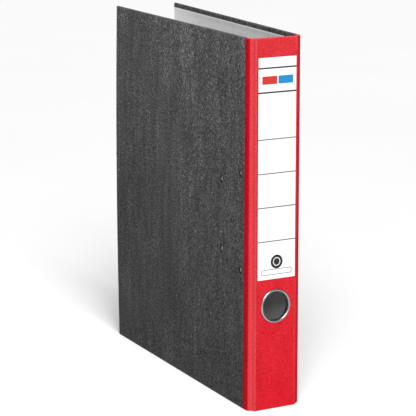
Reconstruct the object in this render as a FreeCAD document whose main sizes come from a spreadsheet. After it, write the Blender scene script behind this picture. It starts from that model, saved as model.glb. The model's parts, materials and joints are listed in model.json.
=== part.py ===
"""Lever arch file: A4 box-board cover with a riveted lever arch mechanism.

The file stands upright on its bottom edges. +Z is up, the spine faces -Y, the
rear cover (which carries the mechanism) is at -X and the front cover at +X.
The origin is at the centre of the bottom of the bounding box. Millimetres.

Cover: five board panels in a chain (rear cover, hinge strip, spine, hinge
strip, front cover). Each panel has its own frame at a crease: local X runs
across the panel, local Y from its outer face inward, local Z up.

Mechanism: one frame on the rear cover's inner face, with its origin beside the
rear crease. Local X is the height above the cover, local Y the distance from
the crease, and local Z runs up from the middle of the mechanism.
"""
import FreeCAD, Part
import math
import os
import Sketcher

Vector = FreeCAD.Vector
Rotation = FreeCAD.Rotation
Placement = FreeCAD.Placement
UP = Vector(0, 0, 1)

DIMENSIONS = [
    # cover
    ("file_height", 318), ("mechanism_level", 162), ("file_width", 51), ("file_depth", 285),
    ("corner", 5.5),              # bevel between a cover and the spine, both ways
    ("board", 2.0), ("paper", 0.3), ("lining", 0.25),
    ("turn_in", 4.0),             # covering turned over the top and bottom edges
    ("crease_gap", 0.25),         # half of the slit between neighbouring panels
    ("mitre_angle", 24.8),        # panel edges at a crease, so that it can close past square
    ("rear_close", 3.0),          # at rest each rear crease is this many degrees past square
    ("front_open", 4.3),          # and each front crease this many degrees short of it
    ("cloth_overlap", 5.0),       # spine cloth carried on to each cover
    # spine fittings
    ("label_width", 37.5), ("label_height", 189), ("label_bottom", 113),
    ("label_offset", 0.8), ("label_thickness", 0.15),
    ("ring_height", 90), ("ring_bore", 12.6), ("ring_barrel", 13.0), ("ring_flange", 15.0),
    ("ring_lip", 1.0), ("ring_back_lip", 0.8),
    ("ring_lip_inner", 0.8), ("ring_lip_outer", 0.45),        # heights of the lip's two rims
    ("ring_roll_inner", 0.5), ("ring_roll_outer", 0.7),       # how far the lip slopes at each rim
    # mechanism
    ("plate_length", 98), ("plate_width", 62), ("plate_thickness", 1.2), ("plate_edge", 7.5),
    ("plate_corner", 5),
    ("arch_spacing", 80), ("wire_radius", 2.0), ("bend_radius", 4.0),
    ("shaft_height", 5.2), ("shaft_depth", 33), ("arch_radius", 16), ("arch_shoulder", 31),
    ("arch_tip", 24.1), ("crank_length", 8.68), ("crank_angle", 11.7), ("crank_half", 5),
    ("bearing_inner", 28), ("bearing_outer", 34), ("bearing_radius", 3.2),
    ("running_gap", 0.05),
    ("post_radius", 2.3), ("post_foot_radius", 2.1), ("post_foot_top", 6.4),
    ("post_top", 23.9), ("post_bore", 1.1), ("post_bore_depth", 12),
    ("post_lead", 0.6), ("post_lead_step", 0.4),
    ("rivet_shank", 1.5), ("rivet_head", 3.0), ("rivet_head_height", 1.0),
    ("rivet_flare", 2.2), ("rivet_bore", 0.9), ("rivet_bore_depth", 2.2),
    ("rivet_recess", 0.1),        # the rivets' outer ends lie this far below the paper
    ("near_rivet_depth", 12), ("near_rivet_half", 41.5),
    ("far_rivet_depth", 49), ("far_rivet_half", 30.3),
    ("pivot_height", 12.65), ("pivot_depth", 43.7), ("pivot_pin", 1.2), ("pivot_boss", 3.0),
    ("pin_head", 2.04), ("pin_head_height", 0.8),
    ("ear_inner", 8.9), ("ear_outer", 10.1),
    ("ear_root_near", 6), ("ear_root_far", 8),                # the ears' width at the plate
    ("lever_length", 31), ("lever_inner", 7.4), ("lever_outer", 8.4), ("lever_web", 1.0),
    ("lever_angle", 78),          # the closed lever lies 12 degrees up, towards the spine
    ("roller_arm", 4.5), ("roller_arm_angle", 72), ("roller_radius", 2.75), ("roller_half", 7.0),
    ("roller_pin_end", 0.15),     # the roller pin stands this far out of each cheek
    ("spring_radius", 3.2), ("spring_wire", 0.5), ("spring_start", 13.5), ("spring_pitch", 1.25),
    ("spring_turns", 9), ("spring_leg", 9),
    ("compressor_length", 160), ("compressor_width", 14), ("compressor_thickness", 2.2),
    ("compressor_height", 3.0), ("post_clearance", 0.08),
    ("catch_length", 16), ("catch_width", 9), ("catch_thickness", 0.8),
    # front cover slots that the arches swing through
    ("slot_length", 51), ("slot_width", 9), ("slot_depth", 31.8),
]

doc = FreeCAD.newDocument("LeverArchFile")
sheet = doc.addObject("Spreadsheet::Sheet", "Size")
for row, (alias, number) in enumerate(DIMENSIONS, start=1):
    sheet.set(f"A{row}", alias)
    sheet.set(f"B{row}", str(number))
    sheet.setAlias(f"B{row}", alias)
doc.recompute()

size = {alias: float(sheet.get(alias)) for alias, _ in DIMENSIONS}
nodes = []


def keep(node, name, placement):
    """Name a finished sub-part, place it and list it for export."""
    node.Label = name
    node.Placement = placement
    nodes.append(node)
    return node


# ---------------------------------------------------------------- sketch helpers

def new_body(name):
    return doc.addObject("PartDesign::Body", name + "_body")


def new_sketch(body, name, role):
    """An empty sketch on one of the body's own origin planes."""
    sketch = body.newObject("Sketcher::SketchObject", name)
    plane = next(item for item in body.Origin.OriginFeatures if item.Role == role)
    sketch.AttachmentSupport = [(plane, "")]
    sketch.MapMode = "FlatFace"
    return sketch


def pin_point(sketch, geometry, point, formulas):
    """Fix a sketch point at a position given by two sheet formulas."""
    for kind, formula in zip(("DistanceX", "DistanceY"), formulas):
        index = sketch.addConstraint(Sketcher.Constraint(kind, -1, 1, geometry, point, 1.0))
        sketch.setExpression(f"Constraints[{index}]", formula)


def add_outline(sketch, corners):
    """A closed straight-sided outline through corners given as sheet formulas."""
    first = sketch.GeometryCount
    count = len(corners)
    turn = 2 * math.pi / count
    start = [Vector(10 * math.cos(turn * i), 10 * math.sin(turn * i), 0) for i in range(count)]
    for i in range(count):
        sketch.addGeometry(Part.LineSegment(start[i], start[(i + 1) % count]))
    for i in range(count):
        sketch.addConstraint(
            Sketcher.Constraint("Coincident", first + i, 2, first + (i + 1) % count, 1))
        pin_point(sketch, first + i, 1, corners[i])


def add_circle(sketch, centre, radius):
    """A circle whose centre and radius are sheet formulas."""
    index = sketch.addGeometry(Part.Circle(Vector(0, 0, 0), UP, 1.0))
    pin_point(sketch, index, 3, centre)
    bound = sketch.addConstraint(Sketcher.Constraint("Radius", index, 1.0))
    sketch.setExpression(f"Constraints[{bound}]", radius)


def add_slot(sketch, centre, half_length, radius, along_x):
    """A round-ended slot: formulas for its centre, half-length to the arc centres and radius."""
    reach = Vector(5, 0, 0) if along_x else Vector(0, 5, 0)
    side = Vector(0, -1, 0) if along_x else Vector(1, 0, 0)
    angle = 0.0 if along_x else math.pi / 2
    near = sketch.addGeometry(Part.LineSegment(side - reach, side + reach))
    far_arc = sketch.addGeometry(Part.ArcOfCircle(
        Part.Circle(reach, UP, 1.0), angle - math.pi / 2, angle + math.pi / 2))
    far = sketch.addGeometry(Part.LineSegment(reach - side, -reach - side))
    near_arc = sketch.addGeometry(Part.ArcOfCircle(
        Part.Circle(-reach, UP, 1.0), angle + math.pi / 2, angle + 3 * math.pi / 2))
    ring = [near, far_arc, far, near_arc]
    for i, edge in enumerate(ring):
        sketch.addConstraint(Sketcher.Constraint("Tangent", edge, 2, ring[(i + 1) % 4], 1))
    for arc, sign in ((far_arc, "+"), (near_arc, "-")):
        shifted = [centre[0], centre[1]]
        shifted[0 if along_x else 1] += f" {sign} ({half_length})"
        pin_point(sketch, arc, 3, shifted)
        bound = sketch.addConstraint(Sketcher.Constraint("Radius", arc, 1.0))
        sketch.setExpression(f"Constraints[{bound}]", radius)


def pad(body, sketch, name, length, symmetric=False, reverse=False):
    feature = body.newObject("PartDesign::Pad", name)
    feature.Profile = sketch
    if symmetric:
        feature.SideType = "Symmetric"
    feature.Reversed = reverse
    feature.setExpression("Length", length)
    return feature


def pocket(body, sketch, name, length=None):
    """A cut symmetric about the sketch plane: right through, or of a given total length."""
    feature = body.newObject("PartDesign::Pocket", name)
    feature.Profile = sketch
    feature.SideType = "Symmetric"
    if length is None:
        feature.Type = "ThroughAll"
    else:
        feature.setExpression("Length", length)
    doc.recompute()
    before = feature.BaseFeature.Shape.Volume
    if not feature.Shape.Volume < before:
        raise RuntimeError(f"{name} cuts nothing")
    return feature


def revolve(body, sketch, name, role):
    feature = body.newObject("PartDesign::Revolution", name)
    feature.Profile = sketch
    axis = next(item for item in body.Origin.OriginFeatures if item.Role == role)
    feature.ReferenceAxis = (axis, [""])
    feature.Angle = 360
    return feature


# ---------------------------------------------------------------- panel frames

CLEARANCE = "1"                   # how far a cutting profile runs past the metal it cuts
HALF_CHORD, FULL_CHORD = "0.5", "0.866"     # a point of a circle, 30 degrees round

SPINE_WIDTH = "(Size.file_width - 2 * Size.corner)"
STRIP_WIDTH = "(Size.corner * sqrt(2))"
COVER_WIDTH = "(Size.file_depth - Size.corner)"
WALL = "(Size.paper + Size.board + Size.lining)"
MITRE = "tan(Size.mitre_angle * 1 deg)"

spine_width = size["file_width"] - 2 * size["corner"]
strip_width = size["corner"] * math.sqrt(2)
wall = size["paper"] + size["board"] + size["lining"]


def turned(angle):
    return Rotation(UP, angle)


def onward(start, angle, distance):
    """The point a distance away from a start point, in a plan direction."""
    return start + turned(angle).multVec(Vector(distance, 0, 0))


# the creases in plan, from the rear cover round the spine, with the rear crease as datum
rear_strip_angle = -45 + size["rear_close"]
spine_angle = 2 * size["rear_close"]
front_strip_angle = spine_angle + 45 - size["front_open"]
front_cover_angle = spine_angle + 90 - 2 * size["front_open"]
rear_crease = Vector(0, 0, 0)
rear_spine_crease = onward(rear_crease, rear_strip_angle, strip_width)
front_spine_crease = onward(rear_spine_crease, spine_angle, spine_width)
front_crease = onward(front_spine_crease, front_strip_angle, strip_width)

PANELS = {
    # name: (origin at a crease, angle, start, end, mitred start, mitred end)
    "rear_cover": (rear_crease, -90, "-" + COVER_WIDTH, "0", False, True),
    "rear_strip": (rear_crease, rear_strip_angle, "0", STRIP_WIDTH, True, True),
    "spine": (rear_spine_crease, spine_angle, "0", SPINE_WIDTH, True, True),
    "front_strip": (front_spine_crease, front_strip_angle, "0", STRIP_WIDTH, True, True),
    "front_cover": (front_crease, front_cover_angle, "0", COVER_WIDTH, True, False),
}


def panel_placement(panel, offset=Vector(0, 0, 0)):
    origin, angle = PANELS[panel][:2]
    return Placement(origin + turned(angle).multVec(offset), turned(angle))


MECHANISM = Placement(Vector(wall, 0, size["mechanism_level"]), Rotation())


# ---------------------------------------------------------------- cover layers

def edge_formula(panel, at_end, depth):
    """Where a panel's edge lies at a depth below its outer face."""
    start, end, mitred_start, mitred_end = PANELS[panel][2:]
    if at_end:
        return f"{end} - Size.crease_gap - ({depth}) * {MITRE}" if mitred_end else end
    return f"{start} + Size.crease_gap + ({depth}) * {MITRE}" if mitred_start else start


def layer_outline(sketch, panel, outer, inner, start=None, end=None):
    """The plan section of one layer, between two depths; start or end overrides an edge."""
    add_outline(sketch, [
        (start or edge_formula(panel, False, outer), outer),
        (end or edge_formula(panel, True, outer), outer),
        (end or edge_formula(panel, True, inner), inner),
        (start or edge_formula(panel, False, inner), inner),
    ])


def flat_layer(name, panel, outer, inner, margin):
    """A board or lining: one layer of a panel, set in by a margin from the top and bottom."""
    body = new_body(name)
    sketch = new_sketch(body, name + "_plan", "XY_Plane")
    layer_outline(sketch, panel, outer, inner)
    pad(body, sketch, name + "_sheet", f"Size.file_height - 2 * {margin}")
    return body


def covering(name, panel, start=None, end=None):
    """Paper or cloth on a panel's outer face, turned over the board's top and bottom edges."""
    body = new_body(name)
    sketch = new_sketch(body, name + "_plan", "XY_Plane")
    back = "Size.paper * 2 + Size.board"
    layer_outline(sketch, panel, "0", back, start, end)
    pad(body, sketch, name + "_block", "Size.file_height")
    room = new_sketch(body, name + "_board_room", "YZ_Plane")
    top = "Size.file_height"
    inner_face = "Size.paper + Size.board"
    past = f"{back} + {CLEARANCE}"
    add_outline(room, [
        ("Size.paper", "Size.paper"), (inner_face, "Size.paper"),
        (inner_face, "Size.turn_in"), (past, "Size.turn_in"),
        (past, f"{top} - Size.turn_in"), (inner_face, f"{top} - Size.turn_in"),
        (inner_face, f"{top} - Size.paper"), ("Size.paper", f"{top} - Size.paper"),
    ])
    pocket(body, room, name + "_wrap")
    return body


def drill(body, name, centres, radius):
    """Round holes through a panel's layer; centres are (across, up) formulas."""
    sketch = new_sketch(body, name, "XZ_Plane")
    for centre in centres:
        add_circle(sketch, centre, radius)
    pocket(body, sketch, name + "_through")


def rivet_centres():
    """The four rivet positions on the rear cover panel, as (across, up) formulas."""
    centres = []
    for row in ("near", "far"):
        for sign in ("+", "-"):
            centres.append((f"-Size.{row}_rivet_depth",
                            f"Size.mechanism_level {sign} Size.{row}_rivet_half"))
    return centres


def slot_centres(base=""):
    """The two arch slots in the front cover, as (across, up) formulas."""
    return [("Size.slot_depth", f"Size.mechanism_level {sign} Size.arch_spacing / 2 {base}")
            for sign in ("+", "-")]


def cut_slots(body, name, bottom):
    """Both arch slots through a layer whose own origin is `bottom` above the floor."""
    sketch = new_sketch(body, name, "XZ_Plane")
    for centre in slot_centres(f"- {bottom}"):
        add_slot(sketch, centre, "Size.slot_length / 2 - Size.slot_width / 2",
                 "Size.slot_width / 2", True)
    pocket(body, sketch, name + "_through")


def lifted(panel, height):
    return panel_placement(panel, Vector(0, 0, height))


def lowered(centres, bottom):
    return [(across, f"{up} - {bottom}") for across, up in centres]


RING_CENTRE = [(f"{SPINE_WIDTH} / 2", "Size.ring_height")]
BOARD_FACES = ("Size.paper", "Size.paper + Size.board")
LINING_FACES = ("Size.paper + Size.board", WALL)


def make_rear_cover():
    board = flat_layer("rear_board", "rear_cover", *BOARD_FACES, "Size.paper")
    drill(board, "rear_board_holes", lowered(rivet_centres(), "Size.paper"), "Size.rivet_shank")
    keep(board, "rear_board", lifted("rear_cover", size["paper"]))

    paper = covering("rear_marbled_paper", "rear_cover", end="-Size.cloth_overlap")
    drill(paper, "rear_paper_holes", rivet_centres(), "Size.rivet_flare")
    keep(paper, "rear_marbled_paper", panel_placement("rear_cover"))

    flange = covering("rear_cloth_flange", "rear_cover", start="-Size.cloth_overlap")
    keep(flange, "rear_cloth_flange", panel_placement("rear_cover"))

    lining = flat_layer("rear_lining", "rear_cover", *LINING_FACES, "Size.turn_in")
    drill(lining, "rear_lining_holes", lowered(rivet_centres(), "Size.turn_in"),
          "Size.rivet_shank")
    keep(lining, "rear_lining", lifted("rear_cover", size["turn_in"]))


def make_hinge_strip(side):
    panel = side + "_strip"
    name = side + "_hinge"
    board = flat_layer(name + "_board", panel, *BOARD_FACES, "Size.paper")
    keep(board, name + "_board", lifted(panel, size["paper"]))
    keep(covering(name + "_cloth", panel), name + "_cloth", panel_placement(panel))
    lining = flat_layer(name + "_lining", panel, *LINING_FACES, "Size.turn_in")
    keep(lining, name + "_lining", lifted(panel, size["turn_in"]))


def make_spine():
    board = flat_layer("spine_board", "spine", *BOARD_FACES, "Size.paper")
    drill(board, "spine_board_hole", lowered(RING_CENTRE, "Size.paper"), "Size.ring_barrel")
    keep(board, "spine_board", lifted("spine", size["paper"]))

    cloth = covering("spine_cloth", "spine")
    drill(cloth, "spine_cloth_hole", RING_CENTRE, "Size.ring_barrel")
    keep(cloth, "spine_cloth", panel_placement("spine"))

    lining = flat_layer("spine_lining", "spine", *LINING_FACES, "Size.turn_in")
    drill(lining, "spine_lining_hole", lowered(RING_CENTRE, "Size.turn_in"), "Size.ring_barrel")
    keep(lining, "spine_lining", lifted("spine", size["turn_in"]))


def make_front_cover():
    board = flat_layer("front_board", "front_cover", *BOARD_FACES, "Size.paper")
    cut_slots(board, "front_board_slots", "Size.paper")
    keep(board, "front_board", lifted("front_cover", size["paper"]))

    paper = covering("front_marbled_paper", "front_cover", start="Size.cloth_overlap")
    cut_slots(paper, "front_paper_slots", "0")
    keep(paper, "front_marbled_paper", panel_placement("front_cover"))

    flange = covering("front_cloth_flange", "front_cover", end="Size.cloth_overlap")
    keep(flange, "front_cloth_flange", panel_placement("front_cover"))

    lining = flat_layer("front_lining", "front_cover", *LINING_FACES, "Size.turn_in")
    cut_slots(lining, "front_lining_slots", "Size.turn_in")
    keep(lining, "front_lining", lifted("front_cover", size["turn_in"]))


# ---------------------------------------------------------------- spine fittings

def make_label():
    label = doc.addObject("Part::Box", "label_card")
    label.setExpression("Length", "Size.label_width")
    label.setExpression("Width", "Size.label_thickness")
    label.setExpression("Height", "Size.label_height")
    left = spine_width / 2 - size["label_width"] / 2 + size["label_offset"]
    corner = Vector(left, -size["label_thickness"], size["label_bottom"])
    keep(label, "spine_label", panel_placement("spine", corner))


def make_finger_ring():
    """An eyelet: a rolled flange outside the spine, a barrel through it and a back washer."""
    centre = panel_placement("spine", Vector(spine_width / 2, 0, size["ring_height"]))

    ring = new_body("finger_ring")
    section = new_sketch(ring, "finger_ring_section", "XY_Plane")
    end = f"{WALL} + Size.ring_back_lip"
    add_outline(section, [
        ("Size.ring_bore", "-Size.ring_lip_inner"),
        ("Size.ring_bore + Size.ring_roll_inner", "-Size.ring_lip"),
        ("Size.ring_flange - Size.ring_roll_outer", "-Size.ring_lip"),
        ("Size.ring_flange", "-Size.ring_lip_outer"),
        ("Size.ring_flange", "0"),
        ("Size.ring_barrel", "0"),
        ("Size.ring_barrel", end),
        ("Size.ring_bore", end),
    ])
    revolve(ring, section, "finger_ring_turned", "Y_Axis")
    keep(ring, "finger_ring", centre)

    back = new_body("finger_ring_back")
    washer = new_sketch(back, "finger_ring_back_face", "XZ_Plane")
    add_circle(washer, ("0", "0"), "Size.ring_flange")
    add_circle(washer, ("0", "0"), "Size.ring_barrel")
    pad(back, washer, "finger_ring_back_disc", "Size.ring_back_lip", reverse=True)
    keep(back, "finger_ring_back",
         panel_placement("spine", Vector(spine_width / 2, wall, size["ring_height"])))


# ---------------------------------------------------------------- mechanism, fixed pieces

def make_base_plate():
    """Pressed plate with two lever ears and two bearing loops for the arch shaft."""
    body = new_body("base_plate")
    outline = new_sketch(body, "plate_outline", "YZ_Plane")
    near, far = "Size.plate_edge", "Size.plate_edge + Size.plate_width"
    low, high = "-Size.plate_length / 2", "Size.plate_length / 2"
    cut = "Size.plate_corner"
    add_outline(outline, [
        (f"{near} + {cut}", low), (f"{far} - {cut}", low), (far, f"{low} + {cut}"),
        (far, f"{high} - {cut}"), (f"{far} - {cut}", high), (f"{near} + {cut}", high),
        (near, f"{high} - {cut}"), (near, f"{low} + {cut}"),
    ])
    pad(body, outline, "plate", "Size.plate_thickness")

    inside = "Size.plate_thickness / 2"
    shaft = ("Size.shaft_height", "Size.shaft_depth")
    loops = new_sketch(body, "loop_webs", "XY_Plane")
    add_outline(loops, [
        (inside, "Size.shaft_depth - Size.bearing_radius"),
        ("Size.shaft_height", "Size.shaft_depth - Size.bearing_radius"),
        ("Size.shaft_height", "Size.shaft_depth + Size.bearing_radius"),
        (inside, "Size.shaft_depth + Size.bearing_radius"),
    ])
    pad(body, loops, "loop_web_pads", "2 * Size.bearing_outer", symmetric=True)
    eyes = new_sketch(body, "loop_eyes", "XY_Plane")
    add_circle(eyes, shaft, "Size.bearing_radius")
    pad(body, eyes, "loop_eye_pads", "2 * Size.bearing_outer", symmetric=True)
    between = new_sketch(body, "between_loops", "XY_Plane")
    reach = f"(Size.bearing_radius + {CLEARANCE})"
    above = f"Size.shaft_height + {reach}"
    add_outline(between, [
        ("Size.plate_thickness", f"Size.shaft_depth - {reach}"),
        (above, f"Size.shaft_depth - {reach}"),
        (above, f"Size.shaft_depth + {reach}"),
        ("Size.plate_thickness", f"Size.shaft_depth + {reach}"),
    ])
    pocket(body, between, "loop_gap", "2 * Size.bearing_inner")
    bore = new_sketch(body, "shaft_bore", "XY_Plane")
    add_circle(bore, shaft, "Size.wire_radius + Size.running_gap")
    pocket(body, bore, "shaft_bore_cut", f"2 * Size.bearing_outer + {CLEARANCE}")

    pivot = ("Size.pivot_height", "Size.pivot_depth")
    ears = new_sketch(body, "ear_webs", "XY_Plane")
    add_outline(ears, [
        (inside, "Size.pivot_depth - Size.ear_root_near"),
        (inside, "Size.pivot_depth + Size.ear_root_far"),
        (f"Size.pivot_height + Size.pivot_boss * {HALF_CHORD}",
         f"Size.pivot_depth + Size.pivot_boss * {FULL_CHORD}"),
        ("Size.pivot_height", "Size.pivot_depth - Size.pivot_boss"),
    ])
    pad(body, ears, "ear_web_pads", "2 * Size.ear_outer", symmetric=True)
    bosses = new_sketch(body, "ear_bosses", "XY_Plane")
    add_circle(bosses, pivot, "Size.pivot_boss")
    pad(body, bosses, "ear_boss_pads", "2 * Size.ear_outer", symmetric=True)
    throat = new_sketch(body, "ear_throat", "XY_Plane")
    front = f"Size.pivot_depth - Size.ear_root_near - {CLEARANCE}"
    behind = f"Size.pivot_depth + Size.ear_root_far + {CLEARANCE}"
    over = f"Size.pivot_height + Size.pivot_boss + {CLEARANCE}"
    add_outline(throat, [
        ("Size.plate_thickness", front), (over, front),
        (over, behind), ("Size.plate_thickness", behind),
    ])
    pocket(body, throat, "ear_gap", "2 * Size.ear_inner")
    pin_hole = new_sketch(body, "pivot_hole", "XY_Plane")
    add_circle(pin_hole, pivot, "Size.pivot_pin")
    pocket(body, pin_hole, "pivot_hole_cut", f"2 * Size.ear_outer + {CLEARANCE}")

    holes = new_sketch(body, "plate_holes", "YZ_Plane")
    for row in ("near", "far"):
        for sign in ("", "-"):
            add_circle(holes, (f"Size.{row}_rivet_depth", f"{sign}Size.{row}_rivet_half"),
                       "Size.rivet_shank")
    for sign in ("", "-"):
        add_circle(holes, ("Size.shaft_depth + 2 * Size.arch_radius",
                           f"{sign}Size.arch_spacing / 2"), "Size.rivet_shank")
    pocket(body, holes, "plate_holes_cut", "4 * Size.plate_thickness")
    keep(body, "base_plate", MECHANISM)


def make_post(name, sign):
    """A tubular filing post, its foot riveted through the base plate."""
    body = new_body(name)
    section = new_sketch(body, name + "_section", "XY_Plane")
    add_outline(section, [
        ("0", "0"), ("0", "Size.rivet_shank"), ("Size.plate_thickness", "Size.rivet_shank"),
        ("Size.plate_thickness", "Size.post_foot_radius"),
        ("Size.post_foot_top", "Size.post_foot_radius"), ("Size.post_foot_top", "Size.post_radius"),
        ("Size.post_top - Size.post_lead", "Size.post_radius"),
        ("Size.post_top", "Size.post_radius - Size.post_lead_step"),
        ("Size.post_top", "Size.post_bore"),
        ("Size.post_top - Size.post_bore_depth", "Size.post_bore"),
        ("Size.post_top - Size.post_bore_depth", "0"),
    ])
    revolve(body, section, name + "_turned", "X_Axis")
    foot = Vector(0, size["shaft_depth"] + 2 * size["arch_radius"],
                  sign * size["arch_spacing"] / 2)
    keep(body, name, MECHANISM * Placement(foot, Rotation()))


def rod(name, radius, length, start, axis=Vector(1, 0, 0)):
    """A cylinder of formula radius and length, along an axis from a start point."""
    cylinder = doc.addObject("Part::Cylinder", name)
    cylinder.setExpression("Radius", radius)
    cylinder.setExpression("Height", length)
    cylinder.Placement = Placement(start, Rotation(UP, axis))
    return cylinder


def fuse(name, pieces):
    joined = doc.addObject("Part::MultiFuse", name)
    joined.Shapes = pieces
    return joined


def cut(name, base, tool):
    result = doc.addObject("Part::Cut", name)
    result.Base = base
    result.Tool = tool
    return result


def make_rivets():
    """Four hollow rivets through the plate and the rear cover, flared flush outside."""
    recess = Vector(size["rivet_recess"], 0, 0)
    rivets = []
    for row in ("near", "far"):
        for side, sign in (("upper", 1), ("lower", -1)):
            name = f"{row}_{side}_rivet"
            at = Vector(0, size[row + "_rivet_depth"], sign * size[row + "_rivet_half"])
            outer = at + Vector(-wall, 0, 0)
            head = rod(name + "_head", "Size.rivet_head", "Size.rivet_head_height",
                       at + Vector(size["plate_thickness"], 0, 0))
            shank = rod(name + "_shank", "Size.rivet_shank",
                        f"{WALL} + Size.plate_thickness - Size.rivet_recess", outer + recess)
            flared = rod(name + "_flare", "Size.rivet_flare", "Size.paper - Size.rivet_recess",
                         outer + recess)
            bore = rod(name + "_bore", "Size.rivet_bore", "Size.rivet_bore_depth", outer)
            rivets.append(cut(name, fuse(name + "_solid", [head, shank, flared]), bore))
    group = doc.addObject("Part::Compound", "rivet_group")
    group.Links = rivets
    keep(group, "mechanism_rivets", MECHANISM)


def make_lever_pin():
    """The pin that the lever turns on, headed outside both ears."""
    pivot = Vector(size["pivot_height"], size["pivot_depth"], 0)
    shank = rod("pin_shank", "Size.pivot_pin", "2 * Size.ear_outer",
                pivot - UP * size["ear_outer"], UP)
    top = rod("pin_top_head", "Size.pin_head", "Size.pin_head_height",
              pivot + UP * size["ear_outer"], UP)
    low = rod("pin_low_head", "Size.pin_head", "Size.pin_head_height",
              pivot - UP * (size["ear_outer"] + size["pin_head_height"]), UP)
    keep(fuse("pin_solid", [shank, top, low]), "lever_pin", MECHANISM)


def swept_rod(path, radius, start, direction):
    """A solid of round section along a wire."""
    disc = Part.Wire(Part.makeCircle(radius, start, direction))
    return path.makePipeShell([disc], True, False)


def make_arch_spring():
    """The torsion spring round the shaft that swings the arches open."""
    radius = size["spring_radius"]
    wire = size["spring_wire"]
    length = size["spring_pitch"] * size["spring_turns"]
    helix = Part.makeHelix(size["spring_pitch"], length, radius)
    along = Vector(0, 2 * math.pi * radius, size["spring_pitch"]).normalize()
    start = Vector(radius, 0, 0)
    leg_end = start - along * size["spring_leg"]
    path = Part.Wire([Part.LineSegment(leg_end, start).toShape()] + helix.Edges)
    spring = doc.addObject("Part::Feature", "spring_coil")
    spring.Shape = swept_rod(path, wire, leg_end, along)
    at = Vector(size["shaft_height"], size["shaft_depth"], size["spring_start"])
    # half a turn puts the fixed leg along the base plate, pointing away from the spine
    keep(spring, "arch_spring", MECHANISM * Placement(at, turned(180)))


# ---------------------------------------------------------------- mechanism, moving pieces

def corner_arc(corner, before, after, radius):
    """The tangent arc that rounds a right-angled corner of a wire."""
    first = corner + (before - corner).normalize() * radius
    last = corner + (after - corner).normalize() * radius
    centre = first + (last - corner)
    middle = centre + (corner - centre).normalize() * radius
    return first, Part.Arc(first, middle, last).toShape(), last


def make_arch_wire():
    """Both arches, the shaft and the crank that the roller presses, bent from one wire."""
    shoulder = size["arch_shoulder"]
    shaft_depth = size["shaft_depth"]
    post_depth = shaft_depth + 2 * size["arch_radius"]
    crown = Vector(shoulder + size["arch_radius"], shaft_depth + size["arch_radius"], 0)
    crank = math.radians(size["crank_angle"])
    throw = Vector(-math.sin(crank), math.cos(crank), 0) * size["crank_length"]
    shaft = Vector(size["shaft_height"], shaft_depth, 0)

    # one half, from the arch's tip to the middle of the crank
    level = UP * (size["arch_spacing"] / 2)
    tip = Vector(size["arch_tip"], post_depth, 0) + level
    outer = Vector(shoulder, post_depth, 0) + level
    inner = Vector(shoulder, shaft_depth, 0) + level
    corners = [inner, shaft + level, shaft + UP * size["crank_half"],
               shaft + throw + UP * size["crank_half"], shaft + throw]
    edges = [Part.LineSegment(tip, outer).toShape(),
             Part.Arc(outer, crown + level, inner).toShape()]
    here = inner
    for before, corner, after in zip(corners, corners[1:], corners[2:]):
        first, arc, last = corner_arc(corner, before, after, size["bend_radius"])
        edges += [Part.LineSegment(here, first).toShape(), arc]
        here = last
    edges.append(Part.LineSegment(here, shaft + throw).toShape())
    half = swept_rod(Part.Wire(edges), size["wire_radius"], tip, Vector(1, 0, 0))
    other = half.mirror(Vector(0, 0, 0), UP)
    wire = doc.addObject("Part::Feature", "arch_rod")
    wire.Shape = half.fuse(other).removeSplitter()
    keep(wire, "arch_wire", MECHANISM)


LEVER = MECHANISM * Placement(Vector(size["pivot_height"], size["pivot_depth"], 0),
                              turned(-size["lever_angle"]))
ROLLER_PIN = ("Size.roller_arm * cos(Size.roller_arm_angle * 1 deg)",
              "-Size.roller_arm * sin(Size.roller_arm_angle * 1 deg)")
roller_angle = math.radians(size["roller_arm_angle"])
ROLLER = LEVER * Placement(
    Vector(math.cos(roller_angle), -math.sin(roller_angle), 0) * size["roller_arm"], Rotation())


# the lever's side view and the channel cut from below: (along, up) from its pivot
LEVER_TIP = "Size.lever_length"
LEVER_SIDE = [
    ("-Size.pivot_boss", "-1.5"), ("-0.8", "-6.4"), ("0.6", "-7"), ("3.2", "-6.6"),
    ("8", "-2.6"), (f"{LEVER_TIP} - 7", "-0.4"), (f"{LEVER_TIP} - 1", "1.4"),
    (LEVER_TIP, "3.2"), (f"{LEVER_TIP} - 1", "4.0"), (f"{LEVER_TIP} - 4", "Size.pivot_boss"),
    ("-1.6", "Size.pivot_boss"), ("-Size.pivot_boss", "1.4"),
]
LEVER_CHANNEL = [
    ("-8", "-9"), (f"{LEVER_TIP} + 2", "-9"), (f"{LEVER_TIP} + 2", "1.6"),
    (f"{LEVER_TIP} - 3.4", "Size.pivot_boss - Size.lever_web"),
    ("-8", "Size.pivot_boss - Size.lever_web"),
]


def make_lever():
    """A channel-section lever: local X runs from the pivot to the finger end."""
    body = new_body("lever")
    side = new_sketch(body, "lever_side", "XY_Plane")
    add_outline(side, LEVER_SIDE)
    pad(body, side, "lever_block", "2 * Size.lever_outer", symmetric=True)
    under = new_sketch(body, "lever_channel", "XY_Plane")
    add_outline(under, LEVER_CHANNEL)
    pocket(body, under, "lever_channel_cut", "2 * Size.lever_inner")
    holes = new_sketch(body, "lever_holes", "XY_Plane")
    add_circle(holes, ("0", "0"), "Size.pivot_pin + Size.running_gap")
    add_circle(holes, ROLLER_PIN, "Size.pivot_pin")
    pocket(body, holes, "lever_holes_cut", f"2 * Size.lever_outer + {CLEARANCE}")
    keep(body, "lever", LEVER)


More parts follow.
